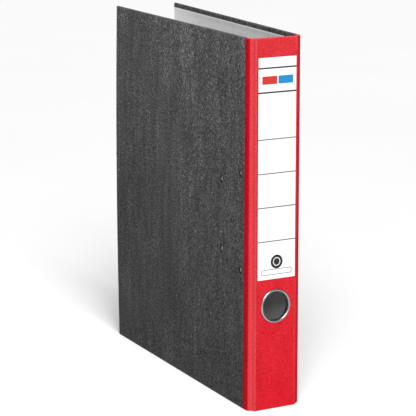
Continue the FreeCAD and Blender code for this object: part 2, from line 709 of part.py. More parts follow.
def make_roller():
    """The roller that rides on the crank, and its pin in the lever's cheeks."""
    body = new_body("roller")
    face = new_sketch(body, "roller_face", "XY_Plane")
    add_circle(face, ("0", "0"), "Size.roller_radius")
    add_circle(face, ("0", "0"), "Size.pivot_pin + Size.running_gap")
    pad(body, face, "roller_drum", "2 * Size.roller_half", symmetric=True)
    keep(body, "roller", ROLLER)

    pin = new_body("roller_pin")
    disc = new_sketch(pin, "roller_pin_face", "XY_Plane")
    add_circle(disc, ("0", "0"), "Size.pivot_pin")
    pad(pin, disc, "roller_pin_rod", "2 * (Size.lever_outer + Size.roller_pin_end)",
        symmetric=True)
    keep(pin, "roller_pin", ROLLER)


def make_compressor():
    """The bar that presses the sheets down, and the two catches that grip the posts."""
    post_depth = "Size.shaft_depth + 2 * Size.arch_radius"
    body = new_body("compressor_bar")
    outline = new_sketch(body, "bar_outline", "YZ_Plane")
    add_slot(outline, (post_depth, "0"),
             "Size.compressor_length / 2 - Size.compressor_width / 2",
             "Size.compressor_width / 2", False)
    pad(body, outline, "bar", "Size.compressor_thickness")
    holes = new_sketch(body, "bar_holes", "YZ_Plane")
    for sign in ("", "-"):
        add_circle(holes, (post_depth, f"{sign}Size.arch_spacing / 2"),
                   "Size.post_radius + Size.post_clearance")
    pocket(body, holes, "bar_holes_cut")
    bar_level = Vector(size["compressor_height"], 0, 0)
    keep(body, "compressor_bar", MECHANISM * Placement(bar_level, Rotation()))

    catches = []
    for side, sign in (("upper", 1), ("lower", -1)):
        post = Vector(0, size["shaft_depth"] + 2 * size["arch_radius"],
                      sign * size["arch_spacing"] / 2)
        plate = doc.addObject("Part::Box", side + "_catch_plate")
        plate.setExpression("Length", "Size.catch_thickness")
        plate.setExpression("Width", "Size.catch_width")
        plate.setExpression("Height", "Size.catch_length")
        plate.Placement.Base = post - Vector(0, size["catch_width"] / 2, size["catch_length"] / 2)
        hole = rod(side + "_catch_hole", "Size.post_radius + Size.post_clearance",
                   "Size.catch_thickness", post)
        catches.append(cut(side + "_catch", plate, hole))
    group = doc.addObject("Part::Compound", "catch_group")
    group.Links = catches
    above = bar_level + Vector(size["compressor_thickness"], 0, 0)
    keep(group, "compressor_catches", MECHANISM * Placement(above, Rotation()))


# ---------------------------------------------------------------- build, check, export

def stand_on_origin():
    """Shift every sub-part so that the bounding box stands centred on the origin."""
    box = FreeCAD.BoundBox()
    for node in nodes:
        box.add(node.Shape.optimalBoundingBox(False))
    shift = Vector(-box.Center.x, -box.Center.y, -box.ZMin)
    for node in nodes:
        node.Placement = Placement(shift, Rotation()) * node.Placement
    doc.recompute()
    return shift


def check_document():
    """Stop if any object failed or any sub-part's shape is unusable."""
    for item in doc.Objects:
        if "Invalid" in item.State or "Error" in item.State:
            raise RuntimeError(f"{item.Name} failed: {item.State}")
    for node in nodes:
        if node.Shape.isNull() or not node.Shape.isValid():
            raise RuntimeError(f"{node.Label} has no valid shape")


make_rear_cover()
make_hinge_strip("rear")
make_spine()
make_hinge_strip("front")
make_front_cover()
make_label()
make_finger_ring()
make_base_plate()
make_post("upper_post", 1)
make_post("lower_post", -1)
make_rivets()
make_lever_pin()
make_arch_spring()
make_arch_wire()
make_lever()
make_roller()
make_compressor()
doc.recompute()
origin_shift = stand_on_origin()
check_document()

os.makedirs("parts", exist_ok=True)
for node in nodes:
    node.Shape.exportStep(f"parts/{node.Label}.step")
    print(f"{node.Label}: {node.Shape.Volume:.1f} mm3, {len(node.Shape.Solids)} solid(s)")

AXES = {
    "rear crease": rear_crease, "rear spine crease": rear_spine_crease,
    "front spine crease": front_spine_crease, "front crease": front_crease,
    "mechanism origin": MECHANISM.Base, "lever pivot": LEVER.Base, "roller": ROLLER.Base,
    "arch shaft": MECHANISM.multVec(Vector(size["shaft_height"], size["shaft_depth"], 0)),
}
for label, point in AXES.items():
    placed = point + origin_shift
    print(f"{label}: {placed.x:.4f} {placed.y:.4f} {placed.z:.4f}")
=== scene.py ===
import bmesh
import bpy
import json
import math
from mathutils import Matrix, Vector


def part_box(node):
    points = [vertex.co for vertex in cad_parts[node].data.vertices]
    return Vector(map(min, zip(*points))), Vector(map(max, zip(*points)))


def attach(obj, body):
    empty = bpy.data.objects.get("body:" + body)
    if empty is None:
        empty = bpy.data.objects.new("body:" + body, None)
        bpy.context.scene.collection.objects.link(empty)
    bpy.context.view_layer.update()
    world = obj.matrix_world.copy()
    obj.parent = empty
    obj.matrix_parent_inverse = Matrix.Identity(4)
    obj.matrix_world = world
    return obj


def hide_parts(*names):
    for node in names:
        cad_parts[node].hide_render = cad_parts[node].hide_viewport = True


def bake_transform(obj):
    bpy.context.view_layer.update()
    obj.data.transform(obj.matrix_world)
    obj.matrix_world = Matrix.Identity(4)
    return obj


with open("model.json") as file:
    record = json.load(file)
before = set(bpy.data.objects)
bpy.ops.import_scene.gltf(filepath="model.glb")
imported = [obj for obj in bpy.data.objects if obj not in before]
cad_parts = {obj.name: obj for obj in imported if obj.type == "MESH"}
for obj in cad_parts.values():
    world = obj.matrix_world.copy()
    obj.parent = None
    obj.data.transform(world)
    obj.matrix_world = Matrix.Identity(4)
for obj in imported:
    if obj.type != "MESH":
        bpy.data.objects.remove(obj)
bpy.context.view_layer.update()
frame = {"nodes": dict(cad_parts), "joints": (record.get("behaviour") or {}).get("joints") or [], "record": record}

MM = 0.001
UP = Vector((0, 0, 1))
JOINTS = {joint["name"]: joint for joint in frame["joints"]}
MOUNTS = {mount["name"]: mount for mount in frame["record"]["mounts"]}
NODES = frame["nodes"]


# ---- camera

CAMERA_PLACE = (-0.78381, -1.67849, 0.52328)
CAMERA_YAW, CAMERA_PITCH = 24.954, 11.462  # degrees right of +Y, and below the horizon
SENSOR_WIDTH, LENS = 36.0, 181.51
CLIP_START, CLIP_END = 0.05, 60.0


def make_camera():
    data = bpy.data.cameras.new("camera")
    data.sensor_width = SENSOR_WIDTH
    data.lens = LENS
    data.clip_start = CLIP_START
    data.clip_end = CLIP_END
    camera = bpy.data.objects.new("camera", data)
    camera.location = CAMERA_PLACE
    camera.rotation_euler = (math.radians(90 - CAMERA_PITCH), 0, math.radians(-CAMERA_YAW))
    bpy.context.scene.collection.objects.link(camera)
    bpy.context.scene.camera = camera


# ---- small sums

def spread(start, end, count):
    """Evenly spaced values from start to end, both included."""
    return [start + (end - start) * i / (count - 1) for i in range(count)]


def smooth(value, low, high):
    """Rises smoothly from 0 at low to 1 at high."""
    share = min(max((value - low) / (high - low), 0.0), 1.0)
    return share * share * (3 - 2 * share)


def hump(value, centre, width):
    """1 at the centre, falling smoothly to 0 on both sides."""
    return math.exp(-((value - centre) / width) ** 2)


def polar(radius, degrees):
    """A point on a circle round the origin."""
    angle = math.radians(degrees)
    return radius * math.cos(angle), radius * math.sin(angle)


# ---- panels in plan

# The cover is five panels that meet at four creases. They are numbered from the rear cover,
# round the outside, to the front cover. A panel's `across` starts at its own crease.
REAR, REAR_STRIP, SPINE, FRONT_STRIP, FRONT = range(5)
REAR_CREASE, REAR_CORNER, FRONT_CORNER, FRONT_CREASE = range(4)
BODIES = ["rear_cover", "rear_hinge_strip", "spine", "front_hinge_strip", "front_cover"]
FRONT_COVER_ANGLE = math.radians(87.4)  # the front cover's direction in plan

BOARD_OUTER, BOARD_INNER = 0.3 * MM, 2.3 * MM  # the grey board's faces, below the outer face
PAPER = 0.3 * MM  # thickness of the covering
WALL = 2.6 * MM  # board, covering and turned-in covering
# How far each bend's curve reaches before and after its crease, on the outer face.
OUTER_TRIM = [(0.4 * MM, 2.5 * MM), (1.3 * MM, 1.3 * MM), (1.0 * MM, 0.9 * MM),
              (0.5 * MM, 0.5 * MM)]
INNER_TRIM = 0.5 * MM


CREASES = [Vector(JOINTS[name]["pos_m"][:2]) for name in
           ("rear_fold", "rear_spine_fold", "front_fold", "front_cover_fold")]
FILE_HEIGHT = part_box("spine_cloth")[1].z
COVER_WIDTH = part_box("rear_board")[1].y - CREASES[REAR_CREASE].y
MIDDLE = [after - before for before, after in zip(CREASES, CREASES[1:])]
ACROSS = [Vector((0, -1)), *[side.normalized() for side in MIDDLE],
          Vector((math.cos(FRONT_COVER_ANGLE), math.sin(FRONT_COVER_ANGLE)))]
INWARD = [Vector((-across.y, across.x)) for across in ACROSS]
ORIGINS = [CREASES[REAR_CREASE]] + CREASES
WIDTHS = [COVER_WIDTH, *[side.length for side in MIDDLE], COVER_WIDTH]


# A station is a place along the cover's outline in plan, on a panel or on a crease's curve.

def flat(panel, across):
    """A station on a panel's flat part, `across` from the panel's origin at the outer face."""
    return ("flat", panel, across)


def bend(crease, share):
    """A station on the curve round a crease, from 0 before it to 1 after it."""
    return ("bend", crease, share)


def trim(crease, side, depth):
    """How far a bend's curve reaches from its crease, at a depth below the outer face."""
    outer = OUTER_TRIM[crease][side]
    share = min(max(depth / WALL, 0.0), 1.0)
    return outer + (INNER_TRIM - outer) * share


def mitre(crease, depth):
    """How far a corner moves along each panel, and where it lies, at a depth."""
    before, after = INWARD[crease], INWARD[crease + 1]
    offset = (before + after) / (1 + before.dot(after)) * depth
    return offset.dot(ACROSS[crease + 1]), CREASES[crease] + offset


def flat_ends(panel, depth):
    """The ends of a panel's flat part at a depth, in the panel's own coordinate."""
    start, end = (-WIDTHS[REAR], 0.0) if panel == REAR else (0.0, WIDTHS[panel])
    if panel > REAR:
        start += mitre(panel - 1, depth)[0] + trim(panel - 1, 1, depth)
    if panel < FRONT:
        end -= mitre(panel, depth)[0] + trim(panel, 0, depth)
    return start, end


def bend_point(crease, share, depth):
    """A point in plan on the curve that rounds a crease."""
    corner = mitre(crease, depth)[1]
    before = corner - ACROSS[crease] * trim(crease, 0, depth)
    after = corner + ACROSS[crease + 1] * trim(crease, 1, depth)
    rest = 1 - share
    return before * rest ** 2 + corner * 2 * rest * share + after * share ** 2


def plan_point(station, depth):
    """The point in plan of a station, at a depth below the outer face."""
    kind, which, value = station
    if kind == "bend":
        return bend_point(which, value, depth)
    outer_start, outer_end = flat_ends(which, 0.0)
    start, end = flat_ends(which, depth)
    share = (value - outer_start) / (outer_end - outer_start)
    return (ORIGINS[which] + ACROSS[which] * (start + (end - start) * share)
            + INWARD[which] * depth)


def outward_of(station):
    kind, which, value = station
    if kind == "flat":
        return -INWARD[which]
    return -(INWARD[which] * (1 - value) + INWARD[which + 1] * value).normalized()


def panel_point(panel, across, depth, z):
    """A point of a panel, with no bow or relief."""
    return Vector((*(ORIGINS[panel] + ACROSS[panel] * across + INWARD[panel] * depth), z))


def at_level(foot, top, z):
    """A value that runs evenly from the foot of the file to its top."""
    return foot + (top - foot) * z / FILE_HEIGHT


# ---- surface relief

# Two rows of rivets: how far from the rear crease, and half the spacing in height.
RIVET_ROWS = [(12 * MM, 41.5 * MM), (49 * MM, 30.3 * MM)]
MECHANISM_LEVEL = (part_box("base_plate")[0].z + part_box("base_plate")[1].z) / 2
RIVETS = [(-from_crease, MECHANISM_LEVEL + sign * half)
          for from_crease, half in RIVET_ROWS for sign in (1, -1)]
DISH_DEPTH, DISH_FLOOR, DISH_RIM, DISH_REACH = 1.0 * MM, 2.25 * MM, 3.1 * MM, 4.6 * MM
DISH_STEP = 0.4 * MM  # mesh spacing round a rivet
BOW, BOW_START = 1.6 * MM, 80 * MM  # the rear fore-edge bulges by this much
GROOVE_FROM_CORNER, GROOVE_DEPTH, GROOVE_WIDTH = 2.9 * MM, 0.55 * MM, 0.95 * MM
RIDGE_HEIGHT, RIDGE_WIDTH = 0.45 * MM, 0.9 * MM
BULGE_HEIGHT, BULGE_WIDTH = 0.35 * MM, 1.6 * MM  # the swelling along the front crease
RELIEF_FADE = (0.4 * MM, 1.4 * MM)  # depths between which the relief dies away


def bow(station, z):
    """How far the rear cover bulges outward; all its layers move together."""
    if station[:2] != ("flat", REAR):
        return 0.0
    level = z / FILE_HEIGHT
    return BOW * smooth(-station[2], BOW_START, COVER_WIDTH) * 4 * level * (1 - level)


def from_rivet(station, z):
    """The distance to the nearest rivet, on the rear cover."""
    if station[:2] != ("flat", REAR):
        return math.inf
    return min(math.hypot(station[2] - across, z - level) for across, level in RIVETS)


def rivet_dish(station, z):
    """How deep the rivets pull the rear cover's face in."""
    return DISH_DEPTH * (1 - smooth(from_rivet(station, z), DISH_FLOOR, DISH_RIM))


def from_creases(station, creases):
    """The distance along the outer face to the nearest of some creases."""
    kind, which, value = station
    if kind == "bend":
        reach = OUTER_TRIM[which][0 if value < 0.5 else 1]
        return (value - 0.5) * 2 * reach if which in creases else math.inf
    before = value if which - 1 in creases else math.inf
    after = WIDTHS[which] - value if which in creases else math.inf
    return min(before, after)


def crease_relief(station):
    """A ridge on each spine corner, a groove beside it, and a swelling at the front crease."""
    corner = from_creases(station, (REAR_CORNER, FRONT_CORNER))
    height = RIDGE_HEIGHT * hump(corner, 0, RIDGE_WIDTH)
    height += BULGE_HEIGHT * hump(from_creases(station, (FRONT_CREASE,)), 0, BULGE_WIDTH)
    if station[:2] in (("flat", REAR_STRIP), ("flat", FRONT_STRIP)):
        height -= GROOVE_DEPTH * hump(corner, GROOVE_FROM_CORNER, GROOVE_WIDTH)
    return height


def relief(station, z):
    """How far the outer face stands out at a station, besides the bow."""
    return crease_relief(station) - rivet_dish(station, z)


def place(station, depth, z):
    """A point of the cover, with the bow and the surface relief."""
    x, y = plan_point(station, depth)
    out = outward_of(station)
    shift = bow(station, z) + relief(station, z) * (1 - smooth(depth, *RELIEF_FADE))
    return Vector((x + out.x * shift, y + out.y * shift, z))


# ---- painted shade and painted sheen

# Every sheet carries two mesh attributes for its material to read: one for painted sheen and painted shade, one
# for painted shade on the covering.
PAINTED_SHADE_BY_PANEL = [1.0, 0.0, 0.0, 0.5, 1.0]  # how much painted shade darkens the covering, by panel
PAINTED_SHADE_SHARE = 0.7  # the part of a bend over which it changes
# How far the painted shade runs past the rear crease, and how soft its edge is.
SHADE_EDGE_FOOT, SHADE_EDGE_TOP, SHADE_EDGE_BLUR = 1.2 * MM, 2.4 * MM, 0.45 * MM
# painted sheen on the rear strip: its strength at the foot and at the top
STRIP_SHEEN_FOOT, STRIP_SHEEN_TOP = 0.429, 0.264
STRIP_SHEEN_END = 0.2  # the part of the corner's bend left without painted sheen
# painted highlight along the spine's corner ridges
RIDGE_HIGHLIGHT, RIDGE_HIGHLIGHT_WIDTH = 0.3, 0.8 * MM
# painted shade round the rivets, where the paper dips
RIVET_SHADE_EDGE = (DISH_RIM - 0.2 * MM, DISH_RIM + 0.6 * MM)


def by_rear_crease(station):
    return station[:2] in (("bend", REAR_CREASE), ("flat", REAR_STRIP))


def past_rear_crease(station):
    """How far a station lies past the rear crease, along the outer face."""
    kind, _, value = station
    if kind == "flat":
        return value
    before, after = OUTER_TRIM[REAR_CREASE]
    return after * value ** 2 - before * (1 - value) ** 2


def painted_shade(station, z):
    """Painted shade on the covering where it faces away from the light: mostly on the covers."""
    kind, which, value = station
    if by_rear_crease(station):
        edge = at_level(SHADE_EDGE_FOOT, SHADE_EDGE_TOP, z)
        return 1 - smooth(past_rear_crease(station), edge - SHADE_EDGE_BLUR, edge + SHADE_EDGE_BLUR)
    if kind == "bend":
        before, after = PAINTED_SHADE_BY_PANEL[which], PAINTED_SHADE_BY_PANEL[which + 1]
        return before + (after - before) * smooth(value, 0, PAINTED_SHADE_SHARE)
    return PAINTED_SHADE_BY_PANEL[which]


def strip_sheen(station, z):
    """Painted sheen on the rear strip outside the painted shade, most at the foot."""
    if by_rear_crease(station):
        share = 1 - painted_shade(station, z)
    elif station[:2] == ("bend", REAR_CORNER):
        share = smooth(1 - station[2], STRIP_SHEEN_END, 1)
    else:
        share = 0.0
    return at_level(STRIP_SHEEN_FOOT, STRIP_SHEEN_TOP, z) * share


def painted_sheen_and_shade(station, z):
    """Painted sheen on the strip, painted highlights on the corner ridges, and painted shade round the rivets."""
    corner = from_creases(station, (REAR_CORNER, FRONT_CORNER))
    ridge = RIDGE_HIGHLIGHT * hump(corner, 0, RIDGE_HIGHLIGHT_WIDTH)
    rivet_shade = 1 - smooth(from_rivet(station, z), *RIVET_SHADE_EDGE)
    return strip_sheen(station, z) + ridge + rivet_shade


# ---- mesh helpers

SMOOTH_ANGLE, TURNED_ANGLE = math.radians(40), math.radians(50)
MERGE, SLIVER = 0.02 * MM, 0.01 * MM  # what is cleaned away after a cut
SLOT_END_POINTS = 17
TURN = 5.0 * MM  # how far the covering is turned in
TURN_KINK = 0.6
RADIUS = 0.95 * MM  # of the covering's turn over the board's edge
LEVEL_GAP = 0.2 * MM
LEVEL_STEP = 10 * MM


def new_piece(name, verts, faces, material, sharp=SMOOTH_ANGLE):
    """A smooth-shaded object; an edge that turns by more than `sharp` stays sharp."""
    mesh = bpy.data.meshes.new(name)
    mesh.from_pydata([tuple(v) for v in verts], [], faces)
    mesh.validate()
    work = bmesh.new()
    work.from_mesh(mesh)
    bmesh.ops.recalc_face_normals(work, faces=work.faces)
    work.to_mesh(mesh)
    work.free()
    mesh.polygons.foreach_set("use_smooth", [True] * len(mesh.polygons))
    mesh.set_sharp_from_angle(angle=sharp)
    mesh.materials.append(material)
    piece = bpy.data.objects.new(name, mesh)
    bpy.context.scene.collection.objects.link(piece)
    return piece


def dress(piece, body, node):
    """Rides a piece on its body, in place of a CAD node."""
    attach(piece, body)
    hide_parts(node)


def levels():
    """The heights of a plain sheet's rows."""
    return spread(0, FILE_HEIGHT, round(FILE_HEIGHT / LEVEL_STEP) + 1)


def arc(depth, z, radius, start, end, count):
    """Points of an arc in (depth, z), angles in degrees."""
    turns = (polar(radius, degrees) for degrees in spread(start, end, count))
    return [(depth + x, z + y) for x, y in turns]


def wrap_path(face, back, low, high, radius, rows):
    """A covering's path in (depth, z), from the turn-in at the foot to the one at the top."""
    path = [(back, TURN), (back, TURN * TURN_KINK + low)]
    path += arc(back - radius, low + radius, radius, 0, -90, 5)
    path += arc(face + radius, low + radius, radius, -90, -180, 6)
    reach = radius + LEVEL_GAP
    path += [(face, z) for z in rows if low + reach < z < high - reach]
    path += arc(face + radius, high - radius, radius, 180, 90, 6)
    path += arc(back - radius, high - radius, radius, 90, 0, 5)
    path += [(back, high - TURN * TURN_KINK), (back, high - TURN + low)]
    return path


def wrap_paths(face, back, low, high, rows):
    """The outer and inner paths of a covering."""
    outer = wrap_path(face, back, low, high, RADIUS, rows)
    inner = wrap_path(face + PAPER, back - PAPER, low + PAPER, high - PAPER, RADIUS - PAPER, rows)
    return outer, inner


def sheet_faces(rows, count):
    """The faces of a closed sheet: two skins of rows x count points, joined at their rims."""
    faces = []
    skin = rows * count
    for row in range(0, skin - count, count):
        for i in range(row, row + count - 1):
            quad = [i, i + count, i + count + 1, i + 1]
            faces.append(quad)
            faces.append([skin + corner for corner in reversed(quad)])
        for i in (row, row + count - 1):
            faces.append([i, i + count, skin + i + count, skin + i])
    for row in (0, skin - count):
        for i in range(row, row + count - 1):
            faces.append([i, i + 1, skin + i + 1, skin + i])
    return faces


def sheet_piece(name, stations, paths, material, warp=None):
    """Two matching paths in (depth, z), swept along the stations and closed."""
    verts, sheen_and_shade_values, painted_shades = [], [], []
    for path in paths:
        for station in stations:
            for depth, z in path:
                here = warp(station, z) if warp else station
                verts.append(place(here, depth, z))
                sheen_and_shade_values.append(painted_sheen_and_shade(here, z))
                painted_shades.append(painted_shade(here, z))
    piece = new_piece(name, verts, sheet_faces(len(stations), len(paths[0])), material)
    # mesh attributes for the painted sheen and shade, and for the painted shade on the covering
    for attribute, values in (("painted_sheen_and_shade", sheen_and_shade_values), ("painted_shade", painted_shades)):
        data = piece.data.attributes.new(attribute, "FLOAT", "POINT").data
        data.foreach_set("value", values)
    return piece


def spokes(panel, count):
    """A panel's outward axis, and unit vectors round it."""
    axis = Vector((*-INWARD[panel], 0))
    side = UP.cross(axis)
    turns = [2 * math.pi * k / count for k in range(count)]
    return axis, [side * math.cos(turn) + UP * math.sin(turn) for turn in turns]


def turned_piece(name, profile, centres, panel, material, segments):
    """Closed rings turned round a panel's normal; profile holds (radius, height) pairs."""
    axis, around = spokes(panel, segments)
    verts, faces = [], []
    count = len(profile)
    for centre in centres:
        base = len(verts)
        for spoke in around:
            verts += [centre + spoke * radius + axis * height for radius, height in profile]
        for k in range(segments):
            this, following = base + k * count, base + (k + 1) % segments * count
            for i in range(count):
                j = (i + 1) % count
                faces.append([this + i, following + i, following + j, this + j])
    return new_piece(name, verts, faces, material, TURNED_ANGLE)


def prism_cutter(ring, through):
    """A prism for cutting a hole: a ring of points, carried both ways."""
    count = len(ring)
    verts = [point + step for step in (-through, through) for point in ring]
    faces = [list(range(count))[::-1], list(range(count, 2 * count))]
    faces += [[i, (i + 1) % count, count + (i + 1) % count, count + i] for i in range(count)]
    return new_piece("cutter", verts, faces, bpy.data.materials.new("cutter"))


def round_cutter(panel, centre, radius, reach, count):
    axis, around = spokes(panel, count)
    return prism_cutter([centre + spoke * radius for spoke in around], axis * reach)


def slot_cutter(panel, centre, half_length, radius, reach):
    """A round-ended prism that lies along a panel."""
    along, through = (Vector((*plan[panel], 0)) for plan in (ACROSS, INWARD))
    ring = []
    for sign, start in ((1, -90), (-1, 90)):
        for degrees in spread(start, start + 180, SLOT_END_POINTS):
            u, w = polar(radius, degrees)
            ring.append(centre + along * (sign * half_length + u) + UP * w)
    return prism_cutter(ring, through * reach)


def close_up(mesh):
    """Removes a cut's slivers and closes the small gaps that they leave."""
    work = bmesh.new()
    work.from_mesh(mesh)
    bmesh.ops.remove_doubles(work, verts=work.verts, dist=MERGE)
    bmesh.ops.dissolve_degenerate(work, edges=work.edges, dist=SLIVER)
    bmesh.ops.triangulate(work, faces=[face for face in work.faces if len(face.verts) > 4])
    bmesh.ops.holes_fill(work, edges=[edge for edge in work.edges if edge.is_boundary], sides=8)
    bmesh.ops.recalc_face_normals(work, faces=work.faces)
    work.to_mesh(mesh)
    work.free()
    mesh.set_sharp_from_angle(angle=SMOOTH_ANGLE)


def cut(piece, cutters):
    """Cuts other pieces out of a piece and deletes them."""
    for cutter in cutters:
        modifier = piece.modifiers.new("cut", "BOOLEAN")
        modifier.operation = "DIFFERENCE"
        modifier.solver = "EXACT"
        modifier.object = cutter
    graph = bpy.context.evaluated_depsgraph_get()
    mesh = bpy.data.meshes.new_from_object(piece.evaluated_get(graph))
    material = piece.data.materials[0]
    piece.modifiers.clear()
    mesh.materials.clear()
    mesh.materials.append(material)
    mesh.polygons.foreach_set("material_index", [0] * len(mesh.polygons))
    close_up(mesh)
    piece.data = mesh
    for cutter in cutters:
        bpy.data.objects.remove(cutter)


# ---- material helpers

UNIFORM = {"metallic": "Metallic", "specular": "Specular IOR Level", "anisotropy": "Anisotropic"}
EVEN = (1, 1, 1)  # a texture that isn't stretched


class Nodes:
    """A short way to build a material's node tree. Colours are linear."""

    def __init__(self, name):
        self.material = bpy.data.materials.new(name)
        self.material.use_nodes = True
        self.tree = self.material.node_tree
        self.shader = self.tree.nodes["Principled BSDF"]
        self.place = self.tree.nodes.new("ShaderNodeTexCoord").outputs["Object"]

    def fill(self, socket, value):
        """Links an output to a socket, or gives the socket a plain number or colour."""
        if isinstance(value, bpy.types.NodeSocket):
            self.tree.links.new(value, socket)
        elif isinstance(value, tuple) and socket.type == "RGBA":
            socket.default_value = (*value, 1.0)
        else:
            socket.default_value = value

    def node(self, kind, **inputs):
        """A new node, with its inputs filled; a name's "_" stands for a space."""
        node = self.tree.nodes.new("ShaderNode" + kind)
        for name, value in inputs.items():
            self.fill(node.inputs[name.replace("_", " ")], value)
        return node

    def noise(self, stretch, scale, detail, roughness):
        where = self.node("Mapping", Scale=stretch, Vector=self.place).outputs["Vector"]
        node = self.node("TexNoise", Scale=scale, Detail=detail, Roughness=roughness, Vector=where)
        return node.outputs["Fac"]

    def voronoi(self, scale):
        return self.node("TexVoronoi", Scale=scale, Vector=self.place).outputs["Distance"]

    def math(self, operation, *values):
        node = self.node("Math")
        node.operation = operation
        for socket, value in zip(node.inputs, values):
            self.fill(socket, value)
        return node.outputs["Value"]

    def weighted(self, *pairs):
        """The sum of some values, each times its weight."""
        total = self.math("MULTIPLY", *pairs[-1])
        for value, weight in reversed(pairs[:-1]):
            total = self.math("MULTIPLY_ADD", value, weight, total)
        return total

    def distance(self, first, second):
        """The length of a vector with these two parts."""
        squares = [self.math("MULTIPLY", part, part) for part in (first, second)]
        return self.math("SQRT", self.math("ADD", *squares))

    def ramp(self, value, stops):
        node = self.node("ValToRGB", Fac=value)
        elements = node.color_ramp.elements
        while len(elements) < len(stops):
            elements.new(0.5)
        for element, (position, colour) in zip(elements, stops):
            element.position = position
            element.color = (*colour, 1.0)
        return node.outputs["Color"]

    def range(self, value, low, high, new_low, new_high):
        node = self.node("MapRange", Value=value, From_Min=low, From_Max=high,
                         To_Min=new_low, To_Max=new_high)
        return node.outputs["Result"]

    def mix(self, share, first, second, blend="MIX"):
        node = self.node("Mix")
        node.data_type = "RGBA"
        node.blend_type = blend
        sockets = {socket.identifier: socket for socket in node.inputs}
        self.fill(sockets["Factor_Float"], share)
        self.fill(sockets["A_Color"], first)
        self.fill(sockets["B_Color"], second)
        return next(out for out in node.outputs if out.identifier == "Result_Color")

    def tinted(self, colour, tint):
        return self.mix(1.0, colour, tint, "MULTIPLY")

    def attribute(self, name):
        node = self.node("Attribute")
        node.attribute_name = name
        return node.outputs["Fac"]

    def along(self, *axis):
        """How far a point lies along an axis of the row frame."""
        node = self.node("VectorMath")
        node.operation = "DOT_PRODUCT"
        self.fill(node.inputs[0], self.place)
        self.fill(node.inputs[1], axis)
        return node.outputs["Value"]

    def edge_wear(self, reach):
        """1 at the top and foot of the cover, falling to 0 over `reach`."""
        z = self.along(0, 0, 1)
        top = self.range(z, FILE_HEIGHT - reach, FILE_HEIGHT, 0.0, 1.0)
        foot = self.range(z, 0.0, reach, 1.0, 0.0)
        return self.math("MAXIMUM", top, foot)

    def finish(self, colour, roughness, height=None, depth=0.0, **uniform):
        """Connects the shader; a uniform value goes straight on the shader's own socket."""
        self.fill(self.shader.inputs["Base Color"], colour)
        self.fill(self.shader.inputs["Roughness"], roughness)
        if height is not None:
            bump = self.node("Bump", Distance=depth, Strength=1.0, Height=height)
            self.fill(self.shader.inputs["Normal"], bump.outputs["Normal"])
        for name, value in uniform.items():
            self.shader.inputs[UNIFORM[name]].default_value = value
        return self.material


# ---- materials

MARBLE_TONES = [(0.40, (0.010, 0.010, 0.011)), (0.49, (0.052, 0.052, 0.053)),
                (0.55, (0.135, 0.135, 0.134)), (0.61, (0.46, 0.46, 0.455))]
MARBLE_SHADE_FOOT, MARBLE_SHADE_TOP = -0.062, -0.002  # painted shade: the tone darkens towards the foot
MARBLE_SHADE_CREASE, MARBLE_SHADE_FORE_EDGE = 0.004, -0.013  # and painted shade darker towards the fore-edge
# painted shade round the rivets, and worn paper at the top and foot
MARBLE_RIVET_SHADE, MARBLE_WORN = (0.006, 0.006, 0.006), (0.24, 0.235, 0.23)
MARBLE_WEAR_REACH = 1.2 * MM

RED_TONES = [(0.38, (0.345, 0.006, 0.012)), (0.50, (0.435, 0.014, 0.022)),
             (0.62, (0.53, 0.034, 0.043))]
# painted light and shade: the red is paler at the top and darker at the foot
RED_SHADED_FOOT_TINT, RED_LIT_TOP_TINT = (0.97, 0.55, 0.72), (1.02, 1.45, 1.25)
# painted shade: a darker red on the covers and beside the rear crease
RED_PAINTED_SHADE_TINT = (0.78, 0.07, 0.34)
# painted sheen on the rear strip and the corner ridges; and worn red at the top and foot
RED_PAINTED_SHEEN, RED_WORN = (0.50, 0.082, 0.088), (0.86, 0.33, 0.33)
RED_WEAR_REACH = 0.9 * MM

LINING_TONES = [(0.36, (0.72, 0.72, 0.72)), (0.50, (0.79, 0.79, 0.79)),
                (0.62, (0.84, 0.84, 0.835))]
BOARD_TONES = [(0.30, (0.12, 0.115, 0.105)), (0.50, (0.30, 0.285, 0.26)),
               (0.70, (0.46, 0.44, 0.41))]
PLASTIC_TONES = [(0.35, (0.62, 0.61, 0.58)), (0.65, (0.80, 0.79, 0.76))]


def marble_painted_shade(n):
    """Painted shade: darkens the marbled paper towards the foot and the fore-edge."""
    crease = CREASES[REAR_CREASE].y
    rise = n.range(n.along(0, 0, 1), 0.0, FILE_HEIGHT, MARBLE_SHADE_FOOT, MARBLE_SHADE_TOP)
    across = n.range(n.along(0, 1, 0), crease, crease + COVER_WIDTH,
                     MARBLE_SHADE_CREASE, MARBLE_SHADE_FORE_EDGE)
    return n.math("ADD", rise, across)


def marbled_paper():
    """Dark grey paper with fine pale mottling, drawn out into vertical streaks."""
    n = Nodes("marbled_paper")
    fine = n.noise((1, 1, 0.85), scale=860, detail=5, roughness=0.72)
    flecks = n.noise((1, 1, 0.6), scale=1300, detail=3, roughness=0.6)
    streaks = n.noise((1, 1, 0.16), scale=130, detail=5, roughness=0.6)
    clouds = n.noise((1, 1, 0.45), scale=24, detail=4, roughness=0.55)
    mottle = n.weighted((fine, 0.62), (flecks, 0.38))
    broad = n.weighted((streaks, 0.6), (clouds, 0.4))
    # painted shade towards the foot and the fore-edge
    shade = n.math("ADD", n.weighted((mottle, 0.83), (broad, 0.17)), marble_painted_shade(n))
    # painted shade round the rivets
    paper = n.mix(n.attribute("painted_sheen_and_shade"), n.ramp(shade, MARBLE_TONES), MARBLE_RIVET_SHADE)
    worn = n.math("MULTIPLY", n.edge_wear(MARBLE_WEAR_REACH), n.range(fine, 0.4, 0.65, 0.0, 0.55))
    return n.finish(colour=n.mix(worn, paper, MARBLE_WORN),
                    roughness=n.range(mottle, 0.3, 0.7, 0.82, 0.62),
                    height=n.weighted((fine, 0.6), (flecks, 0.4)), depth=0.16 * MM,
                    specular=0.18)


